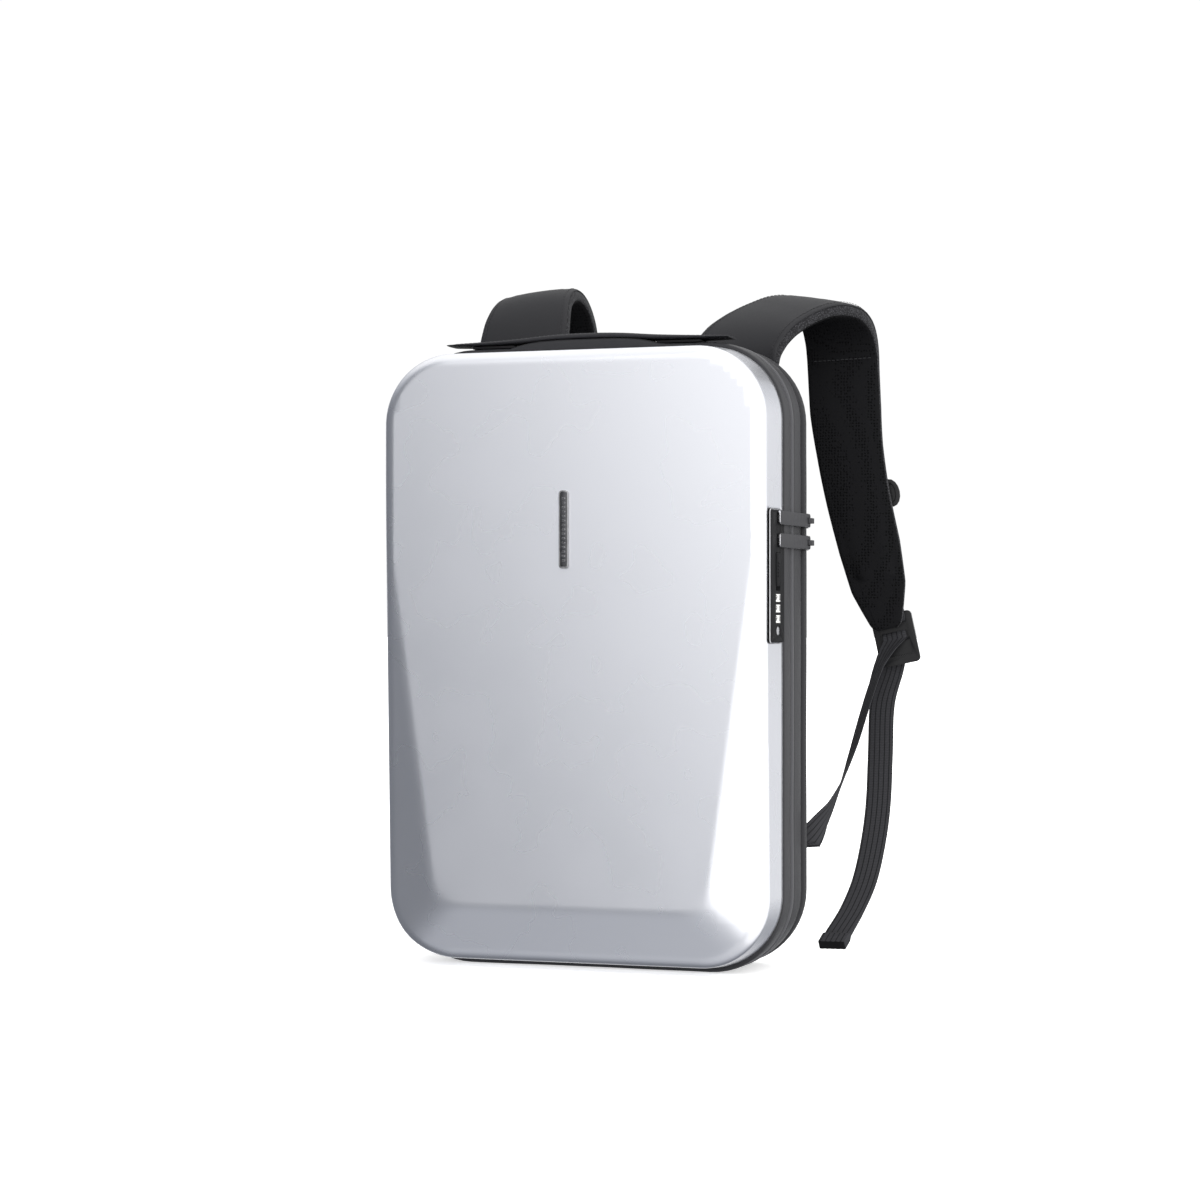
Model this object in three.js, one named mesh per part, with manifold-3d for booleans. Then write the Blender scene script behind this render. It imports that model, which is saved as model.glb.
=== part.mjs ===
// Hard shell backpack: a rigid front shell on a soft zipped body, with a combination lock on
// its side, a low top handle and two padded shoulder straps that hang behind it.
// Millimetres. X runs to the viewer's right, Y to the back and Z up. The origin is the middle
// of the soft body's flat underside, which the backpack stands on.
import * as THREE from "three";
import { mergeVertices } from "three/addons/utils/BufferGeometryUtils.js";
import Module from "manifold-3d";

const wasm = await Module();
wasm.setup();

// Clearance kept between pieces that touch
const GAP = 0.3;
// Segments in each quarter of a rounded outline
const CORNER_STEPS = 8;
// Steps between two rows of a strap pad's table, and between two places along the webbing
const PAD_STEPS = 2;
const EDGE_STEPS = 4;
const SHAPE_STEPS = 4;
const TURN_STEPS = 6;
const ROD_SIDES = 10;
const KEY_SIDES = 16;
const WEB_STEPS = 3;
// How far a cutting tool reaches past what it cuts
const REACH = 8;

// Rigid front shell, open to the back
const shell = {
  width: 300,
  height: 456,
  depth: 44,
  wall: 2.5,
  corner: 55,
  edge: 9,
  draft: 3,
};

// Creases on the shell's front: a middle panel that narrows downwards, with facets round it
const facet = {
  top: 362,
  foot: 47,
  footHalf: 106,
  sideDrop: 10,
  footDrop: 12,
};

// Soft body behind the shell, in four bands from front to back, standing out past the shell
// by a lip at its sides and ends
const body = {
  front: -36,
  sideLip: 1,
  endLip: 4,
  cornerLip: 2,
  wall: 3.2,
  bindingDepth: 21.7,
  gussetDepth: 32.7,
  zipDepth: 4.4,
  backDepth: 14,
  padMargin: 23,
  padThick: 6,
  padEdge: 3,
  padRound: 0.9,
};

// Raised metal bar on the front of the shell
const badge = {
  offset: -3,
  centre: 325.3,
  width: 7,
  height: 57,
  thick: 2.2,
  rim: 0.9,
  round: 2.4,
  recess: 0.4,
};

// Combination lock let into the shell's right side, z measured from the middle of its plate
const lock = {
  centre: 290.8,
  height: 97,
  width: 32,
  backMargin: 1,
  plate: 1.4,
  round: 3,
  bevel: 0.5,
  bodyMargin: 2.4,
  bodyDepth: 15,
  frontShift: 2,
  dialMiddle: -23.4,
  dialPitch: 7.6,
  dialHeight: 5.6,
  dialRadius: 7.2,
  dialSink: 6,
  axleRadius: 1.3,
  releaseMiddle: 4.8,
  releaseHeight: 24,
  releaseWidth: 9,
  releaseTravel: 3,
  releaseDepth: 4,
  releaseProud: 0.8,
  releaseRound: 1,
  releaseBevel: 0.4,
  keyMiddle: -39.6,
  keyRadius: 3.2,
  keyDepth: 6,
  keySlotWidth: 0.9,
  keySlotHeight: 4.5,
  keySlotDepth: 1.6,
};
const DIAL_COUNT = 3;
const DIAL_SIDES = 20;

// Zip sliders and their pulls, which reach forward into the lock
const zip = {
  middle: 325.05,
  pitch: 16.5,
  sliderHeight: 11,
  sliderWidth: 9,
  sliderThick: 2.6,
  stemWidth: 2.8,
  stemHeight: 7.4,
  crownHeight: 4.6,
  crownSpan: 10,
  crownBar: 1.4,
  crownCut: 0.6,
  crownWidth: 4,
  pullLength: 74,
  pullHeight: 10,
  pullThick: 1.6,
  pullRound: 2,
  eyeReach: 6.6,
  tongueHeight: 5.2,
  tongueWidth: 3,
  tongueDepth: 4,
  tongueMargin: 1.2,
  slotSpare: 0.8,
  coil: 0.6,
  coilWidth: 1.6,
  tapeRecess: 2.2,
  tapeThick: 2.6,
};

// Flat springy carrying handle, seated on two anchor pads
const handle = {
  offset: -3,
  length: 222,
  width: 28,
  middleY: -22,
  thick: 5,
  seat: 2,
  bow: 2.6,
  tipLift: 0.8,
  anchorLength: 34,
  anchorWidth: 24,
  gripLength: 112,
  cut: 0.3,
};

// Shoulder straps, their pads, buckles and webbing
const strap = {
  spacing: 176,
  splay: 100,
  reach: 112,
  foot: 252,
  height: 258,
  width: 70,
  thick: 12,
  cutDeep: 0.6,
  cutWide: 0.3,
};
const buckle = {
  width: 31,
  height: 40,
  thick: 4,
  rail: 4,
  topBar: 5,
  middleBar: 4,
  footBar: 6,
  round: 3,
  side: 3.5,
  below: 9,
  slack: 0.5,
  drift: 0.36,
  lapClear: 0.6,
  tabWidth: 20,
  tabThick: 2.4,
  tabLap: 24,
  eyeClear: 0.4,
  eyeWall: 1.5,
};
const webbing = {
  width: 20,
  thick: 1.5,
  hemLength: 12,
  hemThick: 5,
  clearFloor: 6,
  twist: 180,
};
const keeper = {
  level: 0.42,
  plateWidth: 13,
  height: 21,
  thick: 2.4,
  standOut: 6.5,
  bar: 2.6,
};
const cornerTab = {
  height: 24,
  width: 21,
  thick: 2.6,
  level: 62,
  side: 7,
  slack: 0.7,
  lapShares: [0, 0.3, 0.6],
};

// Each strap pad from the back panel, over the arch and down to its end. out, back and level
// are shares of the splay, the reach behind the back panel and the height above the pad's end;
// width and thick are shares of the pad's own, turn is degrees about the vertical, and roll the
// degrees that the outer edge hangs lower.
const rightPad = [
  { out: 0.0, back: 0.026, level: 0.632, width: 0.9, thick: 0.42, turn: 0, roll: 0 },
  { out: 0.0, back: 0.05, level: 0.729, width: 1.0, thick: 0.75, turn: 0, roll: 0 },
  { out: 0.02, back: 0.1, level: 0.822, width: 1.03, thick: 1.0, turn: 8, roll: 2 },
  { out: 0.12, back: 0.2, level: 0.89, width: 1.0, thick: 1.0, turn: 16, roll: 6 },
  { out: 0.26, back: 0.36, level: 0.942, width: 0.96, thick: 1.0, turn: 22, roll: 9 },
  { out: 0.44, back: 0.56, level: 0.978, width: 0.92, thick: 1.0, turn: 22, roll: 10 },
  { out: 0.58, back: 0.77, level: 0.961, width: 0.88, thick: 1.0, turn: 14, roll: 9 },
  { out: 0.62, back: 0.92, level: 0.891, width: 0.84, thick: 1.0, turn: 4, roll: 5 },
  { out: 0.63, back: 0.964, level: 0.798, width: 0.82, thick: 1.0, turn: -4, roll: 2 },
  { out: 0.645, back: 0.964, level: 0.671, width: 0.81, thick: 1.0, turn: -6, roll: 0 },
  { out: 0.68, back: 0.955, level: 0.55, width: 0.76, thick: 1.0, turn: -6, roll: 0 },
  { out: 0.75, back: 0.955, level: 0.399, width: 0.73, thick: 1.0, turn: -6, roll: 0 },
  { out: 0.84, back: 0.96, level: 0.252, width: 0.7, thick: 0.9, turn: -6, roll: 0 },
  { out: 0.91, back: 0.969, level: 0.13, width: 0.62, thick: 0.65, turn: -6, roll: 0 },
  { out: 0.945, back: 0.976, level: 0.065, width: 0.48, thick: 0.6, turn: -6, roll: 0 },
  { out: 0.98, back: 0.983, level: 0.0, width: 0.32, thick: 0.55, turn: -6, roll: 0 },
];
const leftPad = [
  { out: -0.02, back: 0.026, level: 0.632, width: 0.9, thick: 0.42, turn: 0, roll: 0 },
  { out: -0.02, back: 0.044, level: 0.729, width: 1.0, thick: 0.75, turn: 0, roll: 0 },
  { out: -0.03, back: 0.085, level: 0.83, width: 1.04, thick: 1.0, turn: 0, roll: 1 },
  { out: -0.04, back: 0.16, level: 0.93, width: 1.0, thick: 1.0, turn: 0, roll: 3 },
  { out: -0.04, back: 0.29, level: 0.996, width: 0.92, thick: 1.0, turn: 0, roll: 5 },
  { out: -0.04, back: 0.48, level: 1.023, width: 0.88, thick: 1.0, turn: 0, roll: 6 },
  { out: -0.04, back: 0.7, level: 1.004, width: 0.86, thick: 1.0, turn: 0, roll: 6 },
  { out: -0.04, back: 0.88, level: 0.942, width: 0.85, thick: 1.0, turn: 0, roll: 4 },
  { out: -0.03, back: 0.98, level: 0.845, width: 0.84, thick: 1.0, turn: 0, roll: 2 },
  { out: -0.01, back: 1.02, level: 0.729, width: 0.82, thick: 1.0, turn: 0, roll: 0 },
  { out: 0.02, back: 1.035, level: 0.574, width: 0.78, thick: 1.0, turn: 0, roll: 0 },
  { out: 0.07, back: 1.035, level: 0.419, width: 0.74, thick: 1.0, turn: 0, roll: 0 },
  { out: 0.13, back: 1.04, level: 0.264, width: 0.7, thick: 0.9, turn: 0, roll: 0 },
  { out: 0.19, back: 1.045, level: 0.13, width: 0.62, thick: 0.65, turn: 0, roll: 0 },
  { out: 0.22, back: 1.05, level: 0.065, width: 0.48, thick: 0.6, turn: 0, roll: 0 },
  { out: 0.25, back: 1.055, level: 0.0, width: 0.32, thick: 0.55, turn: 0, roll: 0 },
];

// Webbing between a corner tab and its buckle: along is the share of the straight run, out and
// back the bow to the side and to the rear as shares of its length, and turn the share of the
// webbing's twist.
const loadLeg = [
  { along: 0.07, out: 0.022, back: 0.0, turn: 0.7 },
  { along: 0.16, out: 0.038, back: 0.008, turn: 0.47 },
  { along: 0.28, out: 0.037, back: 0.026, turn: 0.38 },
  { along: 0.45, out: 0.022, back: 0.034, turn: 0.31 },
  { along: 0.65, out: 0.0, back: 0.022, turn: 0.29 },
  { along: 0.82, out: -0.013, back: 0.008, turn: 0.27 },
  { along: 0.92, out: -0.011, back: 0.0, turn: 0.16 },
];

// Free end of the webbing below its buckle: level is the share of the drop to the floor, in and
// forward are shares of the same drop, towards the middle and towards the front.
const tailRight = [
  { level: 0.88, in: 0.032, forward: 0.02 },
  { level: 0.7, in: 0.034, forward: 0.05 },
  { level: 0.5, in: 0.034, forward: 0.09 },
  { level: 0.36, in: 0.044, forward: 0.13 },
  { level: 0.22, in: 0.062, forward: 0.2 },
  { level: 0.12, in: 0.09, forward: 0.28 },
  { level: 0.045, in: 0.123, forward: 0.342 },
  { level: 0.0, in: 0.143, forward: 0.378 },
];
const tailLeft = [
  { level: 0.88, in: -0.004, forward: 0.01 },
  { level: 0.7, in: 0.0, forward: 0.02 },
  { level: 0.5, in: 0.01, forward: 0.035 },
  { level: 0.34, in: 0.02, forward: 0.05 },
  { level: 0.2, in: 0.035, forward: 0.08 },
  { level: 0.1, in: 0.05, forward: 0.11 },
  { level: 0.045, in: 0.06, forward: 0.13 },
  { level: 0.0, in: 0.07, forward: 0.15 },
];

// Places worked out from the sizes
const bodyWidth = shell.width + 2 * body.sideLip;
const bodyHeight = shell.height + 2 * body.endLip;
const bodyCorner = shell.corner + body.cornerLip;
const middle = bodyHeight / 2;
const shellBottom = middle - shell.height / 2;
const bindingFront = body.front + GAP;
const bindingBack = bindingFront + body.bindingDepth;
const gussetFront = bindingBack + GAP;
const gussetBack = gussetFront + body.gussetDepth;
const zipFront = gussetBack + GAP;
const zipBack = zipFront + body.zipDepth;
const zipMiddle = (zipFront + zipBack) / 2;
const frameFront = zipBack + GAP;
const frameBack = frameFront + body.backDepth;
const padFace = frameBack + GAP + body.padThick;
const shellFront = body.front - shell.depth;

// The group and its finishes
const group = new THREE.Group();
const finishes = {
  silver: { color: 0xdfe1ec, roughness: 0.3, metalness: 0.25 },
  steel: { color: 0x8d8d90, roughness: 0.35, metalness: 0.9 },
  blackPlastic: { color: 0x141416, roughness: 0.45, metalness: 0.0 },
  whitePlastic: { color: 0xe8e8e8, roughness: 0.4, metalness: 0.0 },
  gunmetal: { color: 0x4a4a4e, roughness: 0.35, metalness: 0.8 },
  greyCloth: { color: 0x4f4f54, roughness: 0.85, metalness: 0.0 },
  darkCloth: { color: 0x2b2b2f, roughness: 0.9, metalness: 0.0 },
  meshCloth: { color: 0x1a1a1c, roughness: 0.95, metalness: 0.0 },
};

function place(name, geometry, finish, parent = group) {
  const mesh = new THREE.Mesh(welded(geometry), new THREE.MeshStandardMaterial(finishes[finish]));
  mesh.name = name;
  parent.add(mesh);
  return mesh;
}

// Mesh helpers

function welded(geometry) {
  const bare = new THREE.BufferGeometry();
  bare.setAttribute("position", geometry.getAttribute("position").clone());
  if (geometry.index) bare.setIndex(geometry.index.clone());
  return mergeVertices(bare, 1e-4);
}

function solidOf(geometry) {
  const merged = welded(geometry);
  return new wasm.Manifold(new wasm.Mesh({
    numProp: 3,
    vertProperties: new Float32Array(merged.attributes.position.array),
    triVerts: new Uint32Array(merged.index.array),
  }));
}

function geometryOf(solid) {
  const mesh = solid.getMesh();
  const geometry = new THREE.BufferGeometry();
  geometry.setAttribute("position", new THREE.BufferAttribute(mesh.vertProperties, mesh.numProp));
  geometry.setIndex(new THREE.BufferAttribute(mesh.triVerts, 1));
  return geometry;
}

function signedVolume(points, faces) {
  let total = 0;
  for (let i = 0; i < faces.length; i += 3) {
    const normal = new THREE.Vector3().crossVectors(points[faces[i + 1]], points[faces[i + 2]]);
    total += points[faces[i]].dot(normal) / 6;
  }
  return total;
}

// Joins rings of equal length, capped at both ends or closed into a loop
function loft(rings, closed = false) {
  const count = rings[0].length;
  const points = rings.flat();
  const faces = [];
  const spans = closed ? rings.length : rings.length - 1;
  for (let r = 0; r < spans; r += 1) {
    const here = r * count;
    const next = ((r + 1) % rings.length) * count;
    for (let i = 0; i < count; i += 1) {
      const j = (i + 1) % count;
      faces.push(here + i, here + j, next + j, here + i, next + j, next + i);
    }
  }
  if (!closed) {
    const end = (rings.length - 1) * count;
    for (let i = 1; i < count - 1; i += 1) {
      faces.push(0, i + 1, i);
      faces.push(end, end + i, end + i + 1);
    }
  }
  if (signedVolume(points, faces) < 0) faces.reverse();
  const geometry = new THREE.BufferGeometry();
  geometry.setFromPoints(points);
  geometry.setIndex(faces);
  return geometry;
}

// Rounded rectangle in the XZ plane about the body's middle, at depth y
function outline(halfWidth, halfHeight, radius, y) {
  const ring = [];
  const quarters = [[1, 1], [-1, 1], [-1, -1], [1, -1]];
  quarters.forEach(([sideX, sideZ], quarter) => {
    for (let step = 0; step <= CORNER_STEPS; step += 1) {
      const angle = ((quarter + step / CORNER_STEPS) * Math.PI) / 2;
      const x = sideX * (halfWidth - radius) + radius * Math.cos(angle);
      const z = sideZ * (halfHeight - radius) + radius * Math.sin(angle);
      ring.push(new THREE.Vector3(x, y, middle + z));
    }
  });
  return ring;
}

const bodyRing = (inset, y) =>
  outline(bodyWidth / 2 - inset, bodyHeight / 2 - inset, bodyCorner - inset, y);
const shellRing = (inset, y) =>
  outline(shell.width / 2 - inset, shell.height / 2 - inset, shell.corner - inset, y);

function box(x0, x1, y0, y1, z0, z1) {
  const geometry = new THREE.BoxGeometry(x1 - x0, y1 - y0, z1 - z0);
  return geometry.translate((x0 + x1) / 2, (y0 + y1) / 2, (z0 + z1) / 2);
}

function roundedShape(width, height, radius) {
  const x = width / 2 - radius;
  const y = height / 2 - radius;
  const shape = new THREE.Shape();
  shape.absarc(x, y, radius, 0, Math.PI / 2);
  shape.absarc(-x, y, radius, Math.PI / 2, Math.PI);
  shape.absarc(-x, -y, radius, Math.PI, Math.PI * 1.5);
  shape.absarc(x, -y, radius, Math.PI * 1.5, Math.PI * 2);
  return shape;
}

function extruded(shape, depth, bevel = 0) {
  return new THREE.ExtrudeGeometry(shape, {
    depth: depth - 2 * bevel,
    bevelEnabled: bevel > 0,
    bevelThickness: bevel,
    bevelSize: bevel,
    bevelOffset: -bevel,
    bevelSegments: 1,
    curveSegments: SHAPE_STEPS,
  }).translate(0, 0, bevel);
}

// A shape drawn in the XZ plane, with its depth growing towards the front
const facingFront = (shape, depth, bevel) => extruded(shape, depth, bevel).rotateX(Math.PI / 2);

// A shape drawn in the YZ plane, with its depth growing along X
function facingSide(shape, depth, bevel) {
  const axes = [new THREE.Vector3(0, 1, 0), new THREE.Vector3(0, 0, 1), new THREE.Vector3(1, 0, 0)];
  return extruded(shape, depth, bevel).applyMatrix4(new THREE.Matrix4().makeBasis(...axes));
}

const upright = (radius, height, sides) =>
  new THREE.CylinderGeometry(radius, radius, height, sides).rotateX(Math.PI / 2);

// Front shell: one rounded form leans back four ways, and what all four share is the shell

function shellBlank(inset) {
  const front = shellFront + inset;
  const round = shell.edge - inset;
  const back = body.front + shell.height;
  const lean = (y) => (shell.draft * (body.front - y)) / shell.depth;
  const rings = [shellRing(inset + lean(back), back)];
  for (let step = 0; step <= EDGE_STEPS; step += 1) {
    const angle = ((step / EDGE_STEPS) * Math.PI) / 2;
    const y = front + round * (1 - Math.sin(angle));
    const start = front + round;
    rings.push(shellRing(inset + lean(start) + round * (1 - Math.cos(angle)), y));
  }
  return loft(rings);
}

// Moves each point back by a drop that is zero on the crease a to b and full at point c
function leaned(geometry, a, b, c, drop) {
  const area = (p) => (b[0] - a[0]) * (p[1] - a[1]) - (b[1] - a[1]) * (p[0] - a[0]);
  const unit = drop / area(c);
  const perX = -(b[1] - a[1]) * unit;
  const perZ = (b[0] - a[0]) * unit;
  const rest = area([0, 0]) * unit;
  const lean = new THREE.Matrix4().set(1, 0, 0, 0, perX, 1, perZ, rest, 0, 0, 1, 0, 0, 0, 0, 1);
  return geometry.applyMatrix4(lean);
}

function shellForm(inset) {
  const half = shell.width / 2;
  let form = solidOf(shellBlank(inset));
  for (const side of [-1, 1]) {
    const top = [side * half, facet.top];
    const foot = [side * facet.footHalf, facet.foot];
    const outer = [side * half, facet.foot];
    form = form.intersect(solidOf(leaned(shellBlank(inset), top, foot, outer, facet.sideDrop)));
  }
  const left = [-half, facet.foot];
  const right = [half, facet.foot];
  const low = [0, shellBottom];
  return form.intersect(solidOf(leaned(shellBlank(inset), left, right, low, facet.footDrop)));
}

// The lock's own frame: X out of the shell's side, which leans in towards the front
const lockY = body.front - lock.backMargin - lock.width / 2;
const lockLean = Math.atan2(shell.draft, shell.depth);
const lockFrame = new THREE.Group();
lockFrame.position.set(
  shell.width / 2 - (shell.draft * (body.front - lockY)) / shell.depth,
  lockY,
  lock.centre,
);
lockFrame.rotation.z = -lockLean;
lockFrame.updateMatrix();
group.add(lockFrame);
const lockFace = GAP + lock.plate;
const lockBodyHalfY = lock.width / 2 - lock.bodyMargin;
const lockBodyHalfZ = lock.height / 2 - lock.bodyMargin;

function makeShell() {
  const reach = shell.width + shell.height;
  const behind = box(-reach, reach, body.front, body.front + reach, -reach, reach);
  const hole = box(
    -REACH, REACH,
    -lockBodyHalfY - GAP, lockBodyHalfY + GAP,
    -lockBodyHalfZ - GAP, lockBodyHalfZ + GAP,
  ).applyMatrix4(lockFrame.matrix);
  const solid = shellForm(0)
    .subtract(shellForm(shell.wall))
    .subtract(solidOf(behind))
    .subtract(solidOf(hole));
  place("front_shell", geometryOf(solid), "silver");
}

function makeBadge() {
  const at = new THREE.Vector3(badge.offset, shellFront - GAP, badge.centre);
  const rim = roundedShape(badge.width, badge.height, badge.round);
  const inside = badge.width - 2 * badge.rim;
  const tall = badge.height - 2 * badge.rim;
  rim.holes.push(roundedShape(inside, tall, badge.round - badge.rim));
  place("badge_frame", facingFront(rim, badge.thick).translate(at.x, at.y, at.z), "steel");
  const bar = roundedShape(inside - 2 * GAP, tall - 2 * GAP, badge.round - badge.rim - GAP);
  const thick = badge.thick - badge.recess;
  place("badge_bar", facingFront(bar, thick).translate(at.x, at.y, at.z), "gunmetal");
}

// Lock: housing, three number wheels, release slide and key cylinder

const dialHeight = (index) => lock.dialMiddle + (1 - index) * lock.dialPitch;
const releaseX = lockFace - lock.releaseDepth;

function makeLockHousing(slotHeights, slotY) {
  const plateShape = roundedShape(lock.width, lock.height, lock.round);
  let housing = solidOf(facingSide(plateShape, lock.plate, lock.bevel).translate(GAP, 0, 0));
  const core = box(
    -lock.bodyDepth, GAP + lock.plate / 2,
    -lockBodyHalfY, lockBodyHalfY,
    -lockBodyHalfZ, lockBodyHalfZ,
  );
  housing = housing.add(solidOf(core));
  const dialX = lockFace - lock.dialSink;
  for (let index = 0; index < DIAL_COUNT; index += 1) {
    const pocket = upright(lock.dialRadius + 2 * GAP, lock.dialHeight + 2 * GAP, DIAL_SIDES);
    pocket.translate(dialX, lock.frontShift, dialHeight(index));
    housing = housing.subtract(solidOf(pocket));
  }
  const axleLength = DIAL_COUNT * lock.dialPitch;
  const axle = upright(lock.axleRadius, axleLength, ROD_SIDES);
  housing = housing.add(solidOf(axle.translate(dialX, lock.frontShift, lock.dialMiddle)));
  const releaseTop = lock.releaseMiddle + lock.releaseHeight / 2 + GAP;
  const releaseFoot = lock.releaseMiddle - lock.releaseHeight / 2 - lock.releaseTravel - GAP;
  const halfRelease = lock.releaseWidth / 2 + GAP;
  housing = housing.subtract(solidOf(box(
    releaseX - GAP, lockFace + REACH,
    lock.frontShift - halfRelease, lock.frontShift + halfRelease,
    releaseFoot, releaseTop,
  )));
  const keyBore = upright(lock.keyRadius + GAP, lock.keyDepth + REACH, KEY_SIDES).rotateY(Math.PI / 2);
  keyBore.translate(lockFace - lock.keyDepth - GAP + (lock.keyDepth + REACH) / 2,
    lock.frontShift, lock.keyMiddle);
  housing = housing.subtract(solidOf(keyBore));
  for (const height of slotHeights) {
    const halfSlot = zip.tongueHeight / 2 + GAP;
    housing = housing.subtract(solidOf(box(
      lockFace - zip.tongueDepth - GAP, lockFace + REACH,
      slotY - zip.tongueWidth / 2 - zip.slotSpare, slotY + zip.tongueWidth / 2 + zip.slotSpare,
      height - halfSlot, height + halfSlot,
    )));
  }
  place("lock_housing", geometryOf(housing), "blackPlastic", lockFrame);
}

function makeLockParts() {
  const half = lock.dialHeight / 2;
  const bore = lock.axleRadius + GAP;
  const profile = [
    new THREE.Vector2(bore, -half),
    new THREE.Vector2(lock.dialRadius, -half),
    new THREE.Vector2(lock.dialRadius, half),
    new THREE.Vector2(bore, half),
    new THREE.Vector2(bore, -half),
  ];
  for (let index = 0; index < DIAL_COUNT; index += 1) {
    const wheel = new THREE.LatheGeometry(profile, DIAL_SIDES).rotateX(Math.PI / 2);
    const dial = place(`lock_dial_${index + 1}`, wheel, "whitePlastic", lockFrame);
    dial.position.set(lockFace - lock.dialSink, lock.frontShift, dialHeight(index));
  }
  const slideShape = roundedShape(lock.releaseWidth, lock.releaseHeight, lock.releaseRound);
  const slideThick = lock.releaseDepth + lock.releaseProud;
  const slideForm = facingSide(slideShape, slideThick, lock.releaseBevel);
  const slide = place("lock_release", slideForm, "blackPlastic", lockFrame);
  slide.position.set(releaseX, lock.frontShift, lock.releaseMiddle);
  const barrel = upright(lock.keyRadius, lock.keyDepth, KEY_SIDES).rotateY(Math.PI / 2);
  barrel.translate(lockFace - lock.keyDepth / 2, 0, 0);
  const keyway = box(
    lockFace - lock.keySlotDepth, lockFace + REACH,
    -lock.keySlotWidth / 2, lock.keySlotWidth / 2,
    -lock.keySlotHeight / 2, lock.keySlotHeight / 2,
  );
  const cylinder = geometryOf(solidOf(barrel).subtract(solidOf(keyway)));
  const key = place("lock_cylinder", cylinder, "steel", lockFrame);
  key.position.set(0, lock.frontShift, lock.keyMiddle);
}

// Soft body: each band is a section carried round the body's outline. inset is measured from
// the outline, as a share of the wall, and along is the share of the band's depth.
const INNER = 1.35;
const bindingSection = [
  { inset: 0.5, along: 0 },
  { inset: 0.1, along: 0.09 },
  { inset: 0.0, along: 0.22 },
  { inset: 0.0, along: 0.86 },
  { inset: 0.35, along: 1 },
  { inset: INNER, along: 1 },
  { inset: INNER, along: 0 },
];
const gussetSection = [
  { inset: 0.4, along: 0 },
  { inset: 0.0, along: 0.035 },
  { inset: 0.0, along: 0.1 },
  { inset: 0.4, along: 0.13 },
  { inset: 0.35, along: 0.2 },
  { inset: 0.0, along: 0.27 },
  { inset: 0.0, along: 0.93 },
  { inset: 0.4, along: 1 },
  { inset: INNER, along: 1 },
  { inset: INNER, along: 0 },
];
const frameSection = [
  { inset: 0.4, along: 0 },
  { inset: 0.0, along: 0.12 },
  { inset: 0.0, along: 0.58 },
  { inset: 0.32, along: 0.8 },
  { inset: 1.0, along: 0.95 },
  { inset: 1.9, along: 1 },
];

const band = (section, start, depth) =>
  section.map(({ inset, along }) => bodyRing(inset * body.wall, start + along * depth));

function makeBody() {
  const binding = band(bindingSection, bindingFront, body.bindingDepth);
  place("rim_binding", loft(binding, true), "greyCloth");
  place("side_gusset", loft(band(gussetSection, gussetFront, body.gussetDepth), true), "greyCloth");
  const tapeIn = zip.tapeRecess + zip.tapeThick;
  const coilFront = zipMiddle - zip.coilWidth / 2;
  const coilBack = zipMiddle + zip.coilWidth / 2;
  const tape = [
    bodyRing(zip.tapeRecess, zipFront),
    bodyRing(zip.tapeRecess, coilFront - zip.coil),
    bodyRing(zip.tapeRecess - zip.coil, coilFront),
    bodyRing(zip.tapeRecess - zip.coil, coilBack),
    bodyRing(zip.tapeRecess, coilBack + zip.coil),
    bodyRing(zip.tapeRecess, zipBack),
    bodyRing(tapeIn, zipBack),
    bodyRing(tapeIn, zipFront),
  ];
  place("zipper_tape", loft(tape, true), "blackPlastic");
  const inside = body.wall * INNER;
  const back = band(frameSection, frameFront, body.backDepth);
  const hollow = [bodyRing(inside, frameFront), bodyRing(inside, frameBack - body.wall)];
  place("back_frame", loft([...hollow.reverse(), ...back]), "greyCloth");
  const padBase = frameBack + GAP;
  const pad = [
    bodyRing(body.padMargin, padBase),
    bodyRing(body.padMargin, padFace - body.padEdge),
    bodyRing(body.padMargin + body.padRound, padFace - body.padRound),
    bodyRing(body.padMargin + body.padEdge, padFace),
  ];
  place("back_pad", loft(pad), "meshCloth");
}

// Zip sliders and pulls

const crownFoot = bodyWidth / 2 + GAP + zip.sliderThick;
const hingeX = crownFoot + (zip.crownHeight - zip.crownBar) / 2;
const lockBackFace = shell.width / 2 + lockFace;
const pullDrop = hingeX - zip.pullThick / 2 - lockBackFace - GAP;
const pullLean = Math.atan2(pullDrop, zipMiddle - body.front);

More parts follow.
